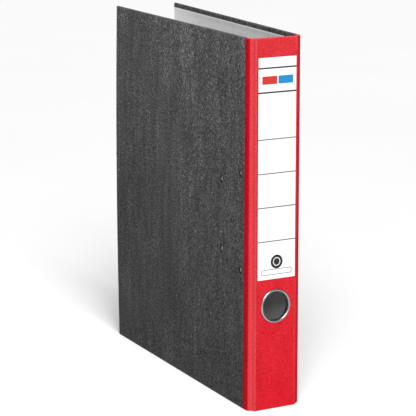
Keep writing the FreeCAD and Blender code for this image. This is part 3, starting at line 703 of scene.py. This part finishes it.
def red_colour(n, tone, grain):
    """Red, with painted light paler towards the top and painted shade at the foot, painted shade on the covers,
    painted sheen on the strip and ridges, and worn at its edges.
    """
    red = n.ramp(tone, RED_TONES)
    level = n.range(n.along(0, 0, 1), 0.0, FILE_HEIGHT, 0.0, 1.0)
    # painted light at the top, painted shade at the foot
    red = n.mix(level, n.tinted(red, RED_SHADED_FOOT_TINT), n.tinted(red, RED_LIT_TOP_TINT))
    # painted shade: darker red on the covers and beside the rear crease
    red = n.mix(n.attribute("painted_shade"), red, n.tinted(red, RED_PAINTED_SHADE_TINT))
    # painted sheen on the rear strip and the corner ridges
    painted_sheen = n.math("MULTIPLY", n.attribute("painted_sheen_and_shade"), n.range(grain, 0.38, 0.62, 0.55, 1.0))
    red = n.mix(painted_sheen, red, RED_PAINTED_SHEEN)
    worn = n.math("MULTIPLY", n.edge_wear(RED_WEAR_REACH), n.range(grain, 0.42, 0.62, 0.0, 0.55))
    return n.mix(worn, red, RED_WORN)


def red_covering():
    """A close-grained red paper with fine pores and a dull gloss."""
    n = Nodes("red_covering")
    grain = n.noise(EVEN, scale=1250, detail=5, roughness=0.7)
    pores = n.voronoi(1700)
    clouds = n.noise((1, 1, 0.5), scale=70, detail=4, roughness=0.6)
    tone = n.weighted((grain, 0.85), (clouds, 0.15))
    return n.finish(colour=red_colour(n, tone, grain),
                    roughness=n.range(tone, 0.36, 0.64, 0.62, 0.46),
                    height=n.weighted((pores, 0.5), (grain, 0.5)), depth=0.07 * MM,
                    specular=0.02)


def lining_paper():
    """Pale grey paper with a faint vertical grain and darker fibres."""
    n = Nodes("lining_paper")
    grain = n.noise((1, 1, 0.12), scale=480, detail=5, roughness=0.6)
    fibres = n.noise((1, 1, 0.6), scale=1100, detail=4, roughness=0.6)
    clouds = n.noise((1, 1, 0.5), scale=30, detail=3, roughness=0.5)
    tone = n.weighted((grain, 0.3), (fibres, 0.45), (clouds, 0.25))
    return n.finish(colour=n.ramp(tone, LINING_TONES),
                    roughness=n.range(fibres, 0.3, 0.7, 0.9, 0.74),
                    height=fibres, depth=0.07 * MM, specular=0.3)


def grey_board():
    """Recycled board: thin pressed layers with flecks of old print."""
    n = Nodes("grey_board")
    layers = n.noise((5.0, 5.0, 0.4), scale=900, detail=4, roughness=0.7)
    flecks = n.noise(EVEN, scale=1300, detail=3, roughness=0.6)
    tone = n.weighted((layers, 0.6), (flecks, 0.4))
    return n.finish(colour=n.ramp(tone, BOARD_TONES),
                    roughness=n.range(flecks, 0.3, 0.7, 0.95, 0.8),
                    height=tone, depth=0.25 * MM, specular=0.2)


def metal(name, dark, pale, roughness, grain=EVEN, scale=900, depth=0.02 * MM, anisotropy=0.0):
    """Plated metal: slight tarnish clouds, and a grain of scratches or orange peel."""
    n = Nodes(name)
    clouds = n.noise(EVEN, scale=110, detail=4, roughness=0.6)
    scratches = n.noise(grain, scale=scale, detail=5, roughness=0.65)
    tone = n.weighted((clouds, 0.6), (scratches, 0.4))
    return n.finish(colour=n.ramp(tone, [(0.34, dark), (0.66, pale)]),
                    roughness=n.range(tone, 0.3, 0.7, *roughness),
                    height=scratches, depth=depth, metallic=1.0, anisotropy=anisotropy)


def roller_plastic():
    """Off-white moulded plastic, a little polished by wear."""
    n = Nodes("roller_plastic")
    mould = n.noise(EVEN, scale=700, detail=4, roughness=0.6)
    wear = n.noise((1, 1, 0.3), scale=240, detail=4, roughness=0.6)
    return n.finish(colour=n.ramp(wear, PLASTIC_TONES),
                    roughness=n.range(mould, 0.3, 0.7, 0.36, 0.52),
                    height=mould, depth=0.03 * MM, specular=0.5)


# The label's print, in mm: `across` from its middle, `down` from the node's top.
LABEL_LINES = [(9.2, 0.68, 1.0), (29.6, 0.70, 1.0), (68.9, 0.48, 0.88), (97.8, 0.48, 0.88),
               (126.6, 0.48, 0.88), (155.6, 0.48, 0.88)]  # down, half width, ink
LABEL_BARS = [(-7.9, (0.42, 0.018, 0.012)), (7.9, (0.004, 0.17, 0.38))]  # across, colour
BAR_DOWN, BAR_HALF_WIDTH, BAR_HALF_HEIGHT = 19.4, 7.3, 3.4
DISC_DOWN, DISC_RADIUS, DISC_RING, DISC_RING_HALF = 173.6, 5.95, 3.3, 0.3
PILL_DOWN, PILL_HALF_LENGTH, PILL_RADIUS, PILL_LINE_HALF = 182.2, 15.4, 2.2, 0.3
PRINT_BLUR, PILL_BLUR = 0.06, 0.05
CARD_TONES = [(0.3, (0.645, 0.645, 0.645)), (0.7, (0.70, 0.70, 0.697))]
LINE_INK, DISC_INK = (0.018, 0.019, 0.021), (0.006, 0.006, 0.007)
DISC_RING_COLOUR, PILL_INK = (0.75, 0.75, 0.75), (0.12, 0.12, 0.125)


def band(n, value, middle, half, blur=PRINT_BLUR):
    """1 where a value lies within `half` of the middle, falling to 0 over a narrow edge."""
    away = n.math("ABSOLUTE", n.math("SUBTRACT", value, middle * MM))
    return n.range(away, (half - blur) * MM, (half + blur) * MM, 1.0, 0.0)


def label_places(n):
    """How far across and down from the label's middle and top a point lies."""
    low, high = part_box("spine_label")
    axis = ACROSS[SPINE]
    middle = ((low + high) / 2).to_2d().dot(axis)
    across = n.math("SUBTRACT", n.along(axis.x, axis.y, 0), middle)
    return across, n.math("SUBTRACT", high.z, n.along(0, 0, 1))


def ruled_lines(n, down):
    ink = 0.0
    for middle, half, strength in LABEL_LINES:
        line = n.math("MULTIPLY", band(n, down, middle, half), strength)
        ink = n.math("MAXIMUM", ink, line)
    return ink


def colour_bar(n, across, down, middle):
    return n.math("MULTIPLY", band(n, across, middle, BAR_HALF_WIDTH),
                  band(n, down, BAR_DOWN, BAR_HALF_HEIGHT))


def pill_outline(n, across, down):
    """A round-ended outline, from the distance to a short line."""
    half_line = (PILL_HALF_LENGTH - PILL_RADIUS) * MM
    past = n.math("MAXIMUM", n.math("SUBTRACT", n.math("ABSOLUTE", across), half_line), 0.0)
    below = n.math("SUBTRACT", down, PILL_DOWN * MM)
    return band(n, n.distance(past, below), PILL_RADIUS, PILL_LINE_HALF, PILL_BLUR)


def label_print():
    """White card with ruled lines, two colour bars, a disc and a pill outline."""
    n = Nodes("label_card")
    across, down = label_places(n)
    fibre = n.noise((1, 1, 0.7), scale=900, detail=4, roughness=0.6)
    card = n.mix(ruled_lines(n, down), n.ramp(fibre, CARD_TONES), LINE_INK)
    for middle, colour in LABEL_BARS:
        card = n.mix(colour_bar(n, across, down, middle), card, colour)
    from_disc = n.distance(across, n.math("SUBTRACT", down, DISC_DOWN * MM))
    card = n.mix(band(n, from_disc, 0.0, DISC_RADIUS), card, DISC_INK)
    card = n.mix(band(n, from_disc, DISC_RING, DISC_RING_HALF), card, DISC_RING_COLOUR)
    card = n.mix(pill_outline(n, across, down), card, PILL_INK)
    return n.finish(colour=card, roughness=n.range(fibre, 0.3, 0.7, 0.62, 0.48),
                    height=fibre, depth=0.03 * MM, specular=0.4)


MARBLED = marbled_paper()
RED = red_covering()
LINING = lining_paper()
BOARD = grey_board()
LABEL = label_print()
NICKEL = metal("nickel", (0.29, 0.295, 0.30), (0.42, 0.425, 0.43), roughness=(0.38, 0.26))
RIVET = metal("aged_nickel", (0.22, 0.215, 0.21), (0.55, 0.54, 0.52), roughness=(0.45, 0.3))
STEEL = metal("plated_steel", (0.50, 0.50, 0.49), (0.64, 0.635, 0.62), roughness=(0.34, 0.24),
              grain=(1, 1, 0.08), scale=1500, depth=0.015 * MM, anisotropy=0.3)
SPRING = metal("spring_steel", (0.20, 0.19, 0.18), (0.34, 0.33, 0.32), roughness=(0.42, 0.3))
PLASTIC = roller_plastic()


# ---- the cover

CLOTH_LOW, CLOTH_HIGH = 0.05 * MM, FILE_HEIGHT
CLOTH_UNDER = 8.6 * MM  # how far the covering runs on to a cover
MARBLE_LIFT, MARBLE_HIGH = 0.12 * MM, FILE_HEIGHT + 0.06 * MM
RED_EDGE_TOP, RED_EDGE_FOOT = 4.1 * MM, 6.6 * MM  # marbled paper's edge, from the rear crease
MARBLE_EDGE, SLANT_START = 6.0 * MM, 20 * MM  # that edge before it is slanted
FRONT_RED_EDGE = 5.5 * MM
BOARD_LOW, BOARD_HIGH = 0.34 * MM, FILE_HEIGHT - 0.34 * MM
BOARD_INSET, LINING_INSET = 0.1 * MM, 0.15 * MM  # from the fore-edge
LINING_BACK, LINING_FACE, LINING_LAP = 2.32 * MM, 2.57 * MM, 2.74 * MM
LINING_MARGIN, LAP_EDGE, LAP_SLOPE = 4.0 * MM, TURN + 0.4 * MM, 1.0 * MM
LINING_ROUND, LINING_SOFT = 0.06 * MM, 0.12 * MM  # its softened top and bottom edges

BEND_SHARES = spread(0, 1, 9)
FLANGE_COUNT, STRIP_COUNT, SPINE_END_COUNT, SPINE_MIDDLE_COUNT, COVER_COUNT = 9, 25, 9, 9, 12
LINING_COVER_COUNT = 40
COVER_STEP = 8 * MM
SPLIT_FLAT = 3 * MM  # the spine's ends that bend with the corners

SPINE_HOLE, SPINE_HOLE_POINTS = 13.05 * MM, 64
PAPER_HOLE, BOARD_HOLE, RIVET_HOLE_POINTS = 1.9 * MM, 1.8 * MM, 32
HOLE_REACH, SLOT_REACH = 8 * MM, 6 * MM
SLOT_FROM_CREASE, SLOT_LENGTH, SLOT_WIDTH = 31.8 * MM, 51 * MM, 9 * MM
BOARD_SLOT_GROW = 0.05 * MM
ARCH_HALF = 40 * MM  # half the spacing of the arches


def bend_stations(crease):
    return [bend(crease, share) for share in BEND_SHARES]


def flat_stations(panel, start, end, count):
    return [flat(panel, across) for across in spread(start, end, count)]


def strip_stations(panel):
    return flat_stations(panel, *flat_ends(panel, 0.0), STRIP_COUNT)


def spine_stations():
    start, end = flat_ends(SPINE, 0.0)
    near = spread(start, start + SPLIT_FLAT, SPINE_END_COUNT)
    far = spread(end - SPLIT_FLAT, end, SPINE_END_COUNT)
    middle = spread(near[-1], far[0], SPINE_MIDDLE_COUNT)[1:-1]
    return [flat(SPINE, across) for across in near + middle + far]


def dense(centres, start, end, coarse):
    """Coarse values from start to end, and fine ones round each centre."""
    values = spread(start, end, round((end - start) / coarse) + 1)
    fine_count = round(2 * DISH_REACH / DISH_STEP) + 1
    for centre in centres:
        values += spread(centre - DISH_REACH, centre + DISH_REACH, fine_count)
    kept = []
    for value in sorted(round(v, 7) for v in values):
        new = not kept or value - kept[-1] > DISH_STEP * 0.4
        if new and start <= value <= end:
            kept.append(value)
    kept[-1] = end
    return kept


def rivet_levels():
    return dense([z for _, z in RIVETS], 0, FILE_HEIGHT, LEVEL_STEP)


def rivet_stations(start, end):
    return [flat(REAR, across) for across in dense([a for a, _ in RIVETS], start, end, COVER_STEP)]


def chain():
    """The stations of the covering and the lining, in five parts from rear to front."""
    rear_flange = flat_stations(REAR, -CLOTH_UNDER, flat_ends(REAR, 0.0)[1], FLANGE_COUNT)
    front_flange = flat_stations(FRONT, flat_ends(FRONT, 0.0)[0], CLOTH_UNDER, FLANGE_COUNT)
    rear_strip, front_strip = strip_stations(REAR_STRIP), strip_stations(FRONT_STRIP)
    spine, end = spine_stations(), SPINE_END_COUNT
    half = STRIP_COUNT // 2
    return {
        "rear_crease": rear_flange[:-1] + bend_stations(REAR_CREASE) + rear_strip[1:half + 1],
        "rear_corner": rear_strip[half:-1] + bend_stations(REAR_CORNER) + spine[1:end],
        "spine": spine[end - 1:1 - end],
        "front_corner": spine[-end:-1] + bend_stations(FRONT_CORNER) + front_strip[1:half + 1],
        "front_crease": front_strip[half:-1] + bend_stations(FRONT_CREASE) + front_flange[1:],
    }


CHAIN = chain()
RED_STANDS_FOR = ["rear_cloth_flange", "rear_hinge_cloth", "spine_cloth", "front_hinge_cloth",
                  "front_cloth_flange"]
LINING_STANDS_FOR = ["rear_hinge_lining", None, "spine_lining", None, "front_hinge_lining"]


def join_panels(piece, part):
    """Rides on the spine, or keeps its place with its transform baked into its mesh."""
    if part == "spine":
        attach(piece, BODIES[SPINE])
        return
    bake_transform(piece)


def ring_centre():
    return panel_point(SPINE, WIDTHS[SPINE] / 2, 0, MOUNTS["finger_ring"]["pos_m"][2])


def rivet_centres():
    return [panel_point(REAR, across, 0, z) for across, z in RIVETS]


def spine_hole_cutter():
    return round_cutter(SPINE, ring_centre(), SPINE_HOLE, HOLE_REACH, SPINE_HOLE_POINTS)


def rivet_cutters(radius):
    return [round_cutter(REAR, centre, radius, HOLE_REACH, RIVET_HOLE_POINTS)
            for centre in rivet_centres()]


def slot_cutters(grow=0.0):
    half_length, radius = (SLOT_LENGTH - SLOT_WIDTH) / 2, SLOT_WIDTH / 2 + grow
    centres = [panel_point(FRONT, SLOT_FROM_CREASE, WALL / 2, MECHANISM_LEVEL + sign * ARCH_HALF)
               for sign in (1, -1)]
    return [slot_cutter(FRONT, centre, half_length, radius, SLOT_REACH) for centre in centres]


def open_up(piece, part):
    """Cuts the finger hole or the arch slots through a part of the chain."""
    if part == "spine":
        cut(piece, [spine_hole_cutter()])
    if part == "front_crease":
        cut(piece, slot_cutters())


def make_chain(prefix, paths, material, stands_for):
    """A sheet along the whole chain, in its five parts."""
    for (part, stations), node in zip(CHAIN.items(), stands_for):
        piece = sheet_piece(prefix + part, stations, paths, material)
        open_up(piece, part)
        join_panels(piece, part)
        if node:
            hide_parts(node)


def slanted(station, z):
    """Moves the marbled paper's last stations, so that its edge leans."""
    _, panel, across = station
    if across <= -SLANT_START:
        return station
    edge = -at_level(RED_EDGE_FOOT, RED_EDGE_TOP, z)
    share = (across + SLANT_START) / (SLANT_START - MARBLE_EDGE)
    return flat(panel, -SLANT_START + (edge + SLANT_START) * share)


def make_marbled_sheet(side, stations, rows, cutters, warp=None):
    paths = wrap_paths(-MARBLE_LIFT, WALL + MARBLE_LIFT / 2, 0, MARBLE_HIGH, rows)
    piece = sheet_piece(side + "_marbled_sheet", stations, paths, MARBLED, warp)
    cut(piece, cutters)
    dress(piece, side + "_cover", side + "_marbled_paper")


def make_marbled_sheets():
    make_marbled_sheet("rear", rivet_stations(-COVER_WIDTH, -MARBLE_EDGE), rivet_levels(),
                       rivet_cutters(PAPER_HOLE), slanted)
    make_marbled_sheet("front", flat_stations(FRONT, FRONT_RED_EDGE, COVER_WIDTH, COVER_COUNT),
                       levels(), slot_cutters())


def board_paths(rows):
    inner_rows = [z for z in rows if BOARD_LOW + MM < z < BOARD_HIGH - MM]
    return [[(depth, z) for z in [BOARD_LOW, *inner_rows, BOARD_HIGH]]
            for depth in (BOARD_OUTER, BOARD_INNER)]


def make_board(panel, node, stations, rows, cutters):
    piece = sheet_piece(node + "_core", stations, board_paths(rows), BOARD)
    if cutters:
        cut(piece, cutters)
    dress(piece, BODIES[panel], node)


def make_boards():
    edge = COVER_WIDTH - BOARD_INSET
    rear_end, front_start = flat_ends(REAR, 0.0)[1], flat_ends(FRONT, 0.0)[0]
    make_board(REAR, "rear_board", rivet_stations(-edge, rear_end), rivet_levels(),
               rivet_cutters(BOARD_HOLE))
    make_board(FRONT, "front_board", flat_stations(FRONT, front_start, edge, COVER_COUNT),
               levels(), slot_cutters(BOARD_SLOT_GROW))
    make_board(REAR_STRIP, "rear_hinge_board", strip_stations(REAR_STRIP), levels(), [])
    make_board(SPINE, "spine_board", spine_stations(), levels(), [spine_hole_cutter()])
    make_board(FRONT_STRIP, "front_hinge_board", strip_stations(FRONT_STRIP), levels(), [])


def lining_paths():
    """The lining's two faces: the visible one rises over the turned-in covering."""
    half = FILE_HEIGHT / 2
    lower = [(LINING_LAP - LINING_ROUND, LINING_MARGIN),
             (LINING_LAP, LINING_MARGIN + LINING_SOFT),
             (LINING_LAP, LAP_EDGE), (LINING_FACE, LAP_EDGE + LAP_SLOPE)]
    upper = [(depth, 2 * half - z) for depth, z in reversed(lower)]
    middle = [(LINING_FACE, z) for z in levels() if abs(z - half) < half - LAP_EDGE - 3 * MM]
    face = lower + middle + upper
    return face, [(LINING_BACK, z) for _, z in face]


def make_cover_linings():
    edge = COVER_WIDTH - LINING_INSET
    stations = {"rear": flat_stations(REAR, -edge, -CLOTH_UNDER, LINING_COVER_COUNT),
                "front": flat_stations(FRONT, CLOTH_UNDER, edge, COVER_COUNT)}
    for side in ("rear", "front"):
        piece = sheet_piece(side + "_lining_sheet", stations[side], lining_paths(), LINING)
        cut(piece, rivet_cutters(BOARD_HOLE) if side == "rear" else slot_cutters())
        dress(piece, side + "_cover", side + "_lining")


# ---- fittings on the cover

RING_SEGMENTS, RIVET_SEGMENTS = 128, 40
# The ring, in mm: the radii of its bore, barrel and rim, and the height of the barrel's end.
RING_BORE, RING_BARREL, RING_RIM, RING_END = 12.6, 13.0, 14.75, -3.3
LIP_START, LIP_HEIGHT, LIP_POINTS = 172, 1.05, 13
RIM_FLAT = -0.05
WASHER_BACK = -(WALL / MM + 0.02)
# A hollow rivet, in mm: its curled rim, the shank, and the domed head inside.
RIVET_PROFILE = [(1.55, -2.5), (1.57, -1.25), (1.6, -1.0), (1.7, -0.84), (1.88, -0.76),
                 (2.06, -0.8), (2.2, -0.92), (2.24, -1.06), (2.18, -1.16), (1.75, -1.2),
                 (1.75, -3.7), (3.0, -3.72), (3.02, -4.0), (2.8, -4.4), (2.2, -4.68),
                 (1.2, -4.8), (0.02, -4.82), (0.02, -2.52)]
LABEL_THICKNESS, LABEL_CORNER, CORNER_POINTS = 0.15 * MM, 0.35 * MM, 6
LABEL_TRIM_TOP, LABEL_TRIM_FOOT = 0.5 * MM, 0.65 * MM
# Rings round the card's edge: how far in, and the share of its thickness.
LABEL_RINGS = [(0.0, 0.0), (0.0, 0.7), (0.035 * MM, 0.93), (0.11 * MM, 1.0)]
PRESSED_EDGE, PRESSED_ANGLE, WELD_REACH = 0.22 * MM, math.radians(50), 0.001 * MM


def in_metres(points):
    return [(radius * MM, height * MM) for radius, height in points]


def ring_profile():
    """The eyelet: a barrel through the board, with its lip curled over the covering."""
    middle, half = (RING_BORE + RING_RIM) / 2, (RING_RIM - RING_BORE) / 2
    lip = []
    for degrees in spread(LIP_START, 180 - LIP_START, LIP_POINTS):
        x, y = polar(1, degrees)
        lip.append((middle + half * x, LIP_HEIGHT * y))
    under = [(RING_RIM - 0.05, 0.02), (RING_RIM - 0.4, RIM_FLAT), (RING_BARREL + 0.1, RIM_FLAT),
             (RING_BARREL, -0.2), (RING_BARREL, RING_END)]
    return in_metres([(RING_BORE, RING_END), (RING_BORE, -0.1)] + lip + under)


def washer_profile():
    """The inner washer, with the barrel's end rolled into it."""
    steps = [(RING_BARREL, 0), (RING_RIM, 0), (RING_RIM, 0.5), (RING_RIM - 0.25, 0.75),
             (RING_BORE + 1.0, 0.8), (RING_BORE + 0.4, 0.95), (RING_BORE, 0.8),
             (RING_BORE + 0.02, 0.4)]
    return in_metres([(radius, WASHER_BACK - step) for radius, step in steps])


def make_finger_ring():
    centres = [ring_centre()]
    ring = turned_piece("ring_eyelet", ring_profile(), centres, SPINE, NICKEL, RING_SEGMENTS)
    dress(ring, "spine", "finger_ring")
    washer = turned_piece("ring_washer", washer_profile(), centres, SPINE, NICKEL, RING_SEGMENTS)
    dress(washer, "spine", "finger_ring_back")


def make_rivets():
    rivets = turned_piece("hollow_rivets", in_metres(RIVET_PROFILE), rivet_centres(), REAR,
                          RIVET, RIVET_SEGMENTS)
    dress(rivets, "rear_cover", "mechanism_rivets")


def rounded_outline(half_width, half_height):
    """A rectangle with small round corners, about its middle."""
    points = []
    for sign_u, sign_w, start in ((1, 1, 0), (-1, 1, 90), (-1, -1, 180), (1, -1, 270)):
        for degrees in spread(start, start + 90, CORNER_POINTS):
            x, y = polar(LABEL_CORNER, degrees)
            points.append((sign_u * (half_width - LABEL_CORNER) + x,
                           sign_w * (half_height - LABEL_CORNER) + y))
    return points


def label_faces(count):
    """The card's edge, ring by ring, then its back and its face."""
    faces = []
    last = (len(LABEL_RINGS) - 1) * count
    for row in range(0, last, count):
        for k in range(count):
            after = (k + 1) % count
            faces.append([row + k, row + after, row + count + after, row + count + k])
    return faces + [list(range(count))[::-1], list(range(last, last + count))]


def make_label():
    """The card, with barely rounded corners and a softened edge."""
    low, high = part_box("spine_label")
    top, foot = high.z - LABEL_TRIM_TOP, low.z + LABEL_TRIM_FOOT
    centre_across = (((low + high) / 2).to_2d() - ORIGINS[SPINE]).dot(ACROSS[SPINE])
    half_width = (high.x - low.x) / 2 / ACROSS[SPINE].x - LABEL_THICKNESS * ACROSS[SPINE].y / 2
    verts = []
    for inset, lift in LABEL_RINGS:
        for u, w in rounded_outline(half_width - inset, (top - foot) / 2 - inset):
            verts.append(panel_point(SPINE, centre_across + u, -LABEL_THICKNESS * lift,
                                     (top + foot) / 2 + w))
    faces = label_faces(len(verts) // len(LABEL_RINGS))
    card = new_piece("label_card", verts, faces, LABEL)
    dress(card, "spine", "spine_label")


def soften_edges(node):
    """Rounds a pressed part's sharp edges. Its own mesh stays as it is."""
    weld = NODES[node].modifiers.new("weld", "WELD")
    weld.merge_threshold = WELD_REACH
    bevel = NODES[node].modifiers.new("pressed_edge", "BEVEL")
    bevel.width = PRESSED_EDGE
    bevel.segments = 2
    bevel.limit_method = "ANGLE"
    bevel.angle_limit = PRESSED_ANGLE


def finish_cad_nodes():
    """Materials for the CAD nodes that stay in view."""
    pressed = ["base_plate", "lever", "compressor_bar", "compressor_catches"]
    finishes = {
        NICKEL: ["upper_post", "lower_post", "arch_wire", "lever_pin", "roller_pin"],
        STEEL: pressed,
        SPRING: ["arch_spring"],
        PLASTIC: ["roller"],
    }
    for material, names in finishes.items():
        for name in names:
            mesh = NODES[name].data
            mesh.materials.clear()
            mesh.materials.append(material)
    for name in pressed:
        soften_edges(name)


# ---- studio

FLOOR_HALF = 14.0
FLOOR_TONES = [(0.3, (0.945, 0.945, 0.945)), (0.7, (0.96, 0.96, 0.96))]
SUN_ENERGY, SUN_SPREAD, SUN_AZIMUTH, SUN_ELEVATION = 4.4, 34, 18, 38  # angles in degrees
SOFT_ENERGY, SOFT_SIZE = 2.5, 0.6
SOFT_PLACE, SOFT_AIM = Vector((-0.35, -0.75, 1.0)), Vector((-0.03, -0.05, 0.3))
SKY_COLOUR, SKY_STRENGTH = (1, 1, 1, 1), 0.16


def floor_material():
    n = Nodes("studio_floor")
    tone = n.noise(EVEN, scale=3, detail=2, roughness=0.5)
    return n.finish(colour=n.ramp(tone, FLOOR_TONES), roughness=0.9, specular=0.1)


def make_floor():
    corners = [(-FLOOR_HALF, -FLOOR_HALF, 0), (FLOOR_HALF, -FLOOR_HALF, 0),
               (FLOOR_HALF, FLOOR_HALF, 0), (-FLOOR_HALF, FLOOR_HALF, 0)]
    new_piece("studio_floor", corners, [[0, 1, 2, 3]], floor_material())


def add_light(name, kind, energy, towards):
    """A light that shines in a direction."""
    data = bpy.data.lights.new(name, kind)
    data.energy = energy
    light = bpy.data.objects.new(name, data)
    light.rotation_euler = towards.to_track_quat("-Z", "Y").to_euler()
    bpy.context.scene.collection.objects.link(light)
    return light


def make_lights():
    azimuth, elevation = math.radians(SUN_AZIMUTH), math.radians(SUN_ELEVATION)
    towards = Vector((math.sin(azimuth) * math.cos(elevation),
                      math.cos(azimuth) * math.cos(elevation), -math.sin(elevation)))
    sun = add_light("key", "SUN", SUN_ENERGY, towards)
    sun.data.angle = math.radians(SUN_SPREAD)
    soft = add_light("soft", "AREA", SOFT_ENERGY, SOFT_AIM - SOFT_PLACE)
    soft.data.size = SOFT_SIZE
    soft.location = SOFT_PLACE


def make_sky():
    world = bpy.data.worlds.new("studio")
    world.use_nodes = True
    background = world.node_tree.nodes["Background"]
    background.inputs["Color"].default_value = SKY_COLOUR
    background.inputs["Strength"].default_value = SKY_STRENGTH
    bpy.context.scene.world = world
    bpy.context.scene.view_settings.view_transform = "Standard"


make_camera()
make_chain("covering_", wrap_paths(0.0, WALL, CLOTH_LOW, CLOTH_HIGH, levels()), RED,
           RED_STANDS_FOR)
make_marbled_sheets()
make_boards()
make_chain("lining_", lining_paths(), LINING, LINING_STANDS_FOR)
make_cover_linings()
make_finger_ring()
make_rivets()
make_label()
finish_cad_nodes()
make_floor()
make_lights()
make_sky()
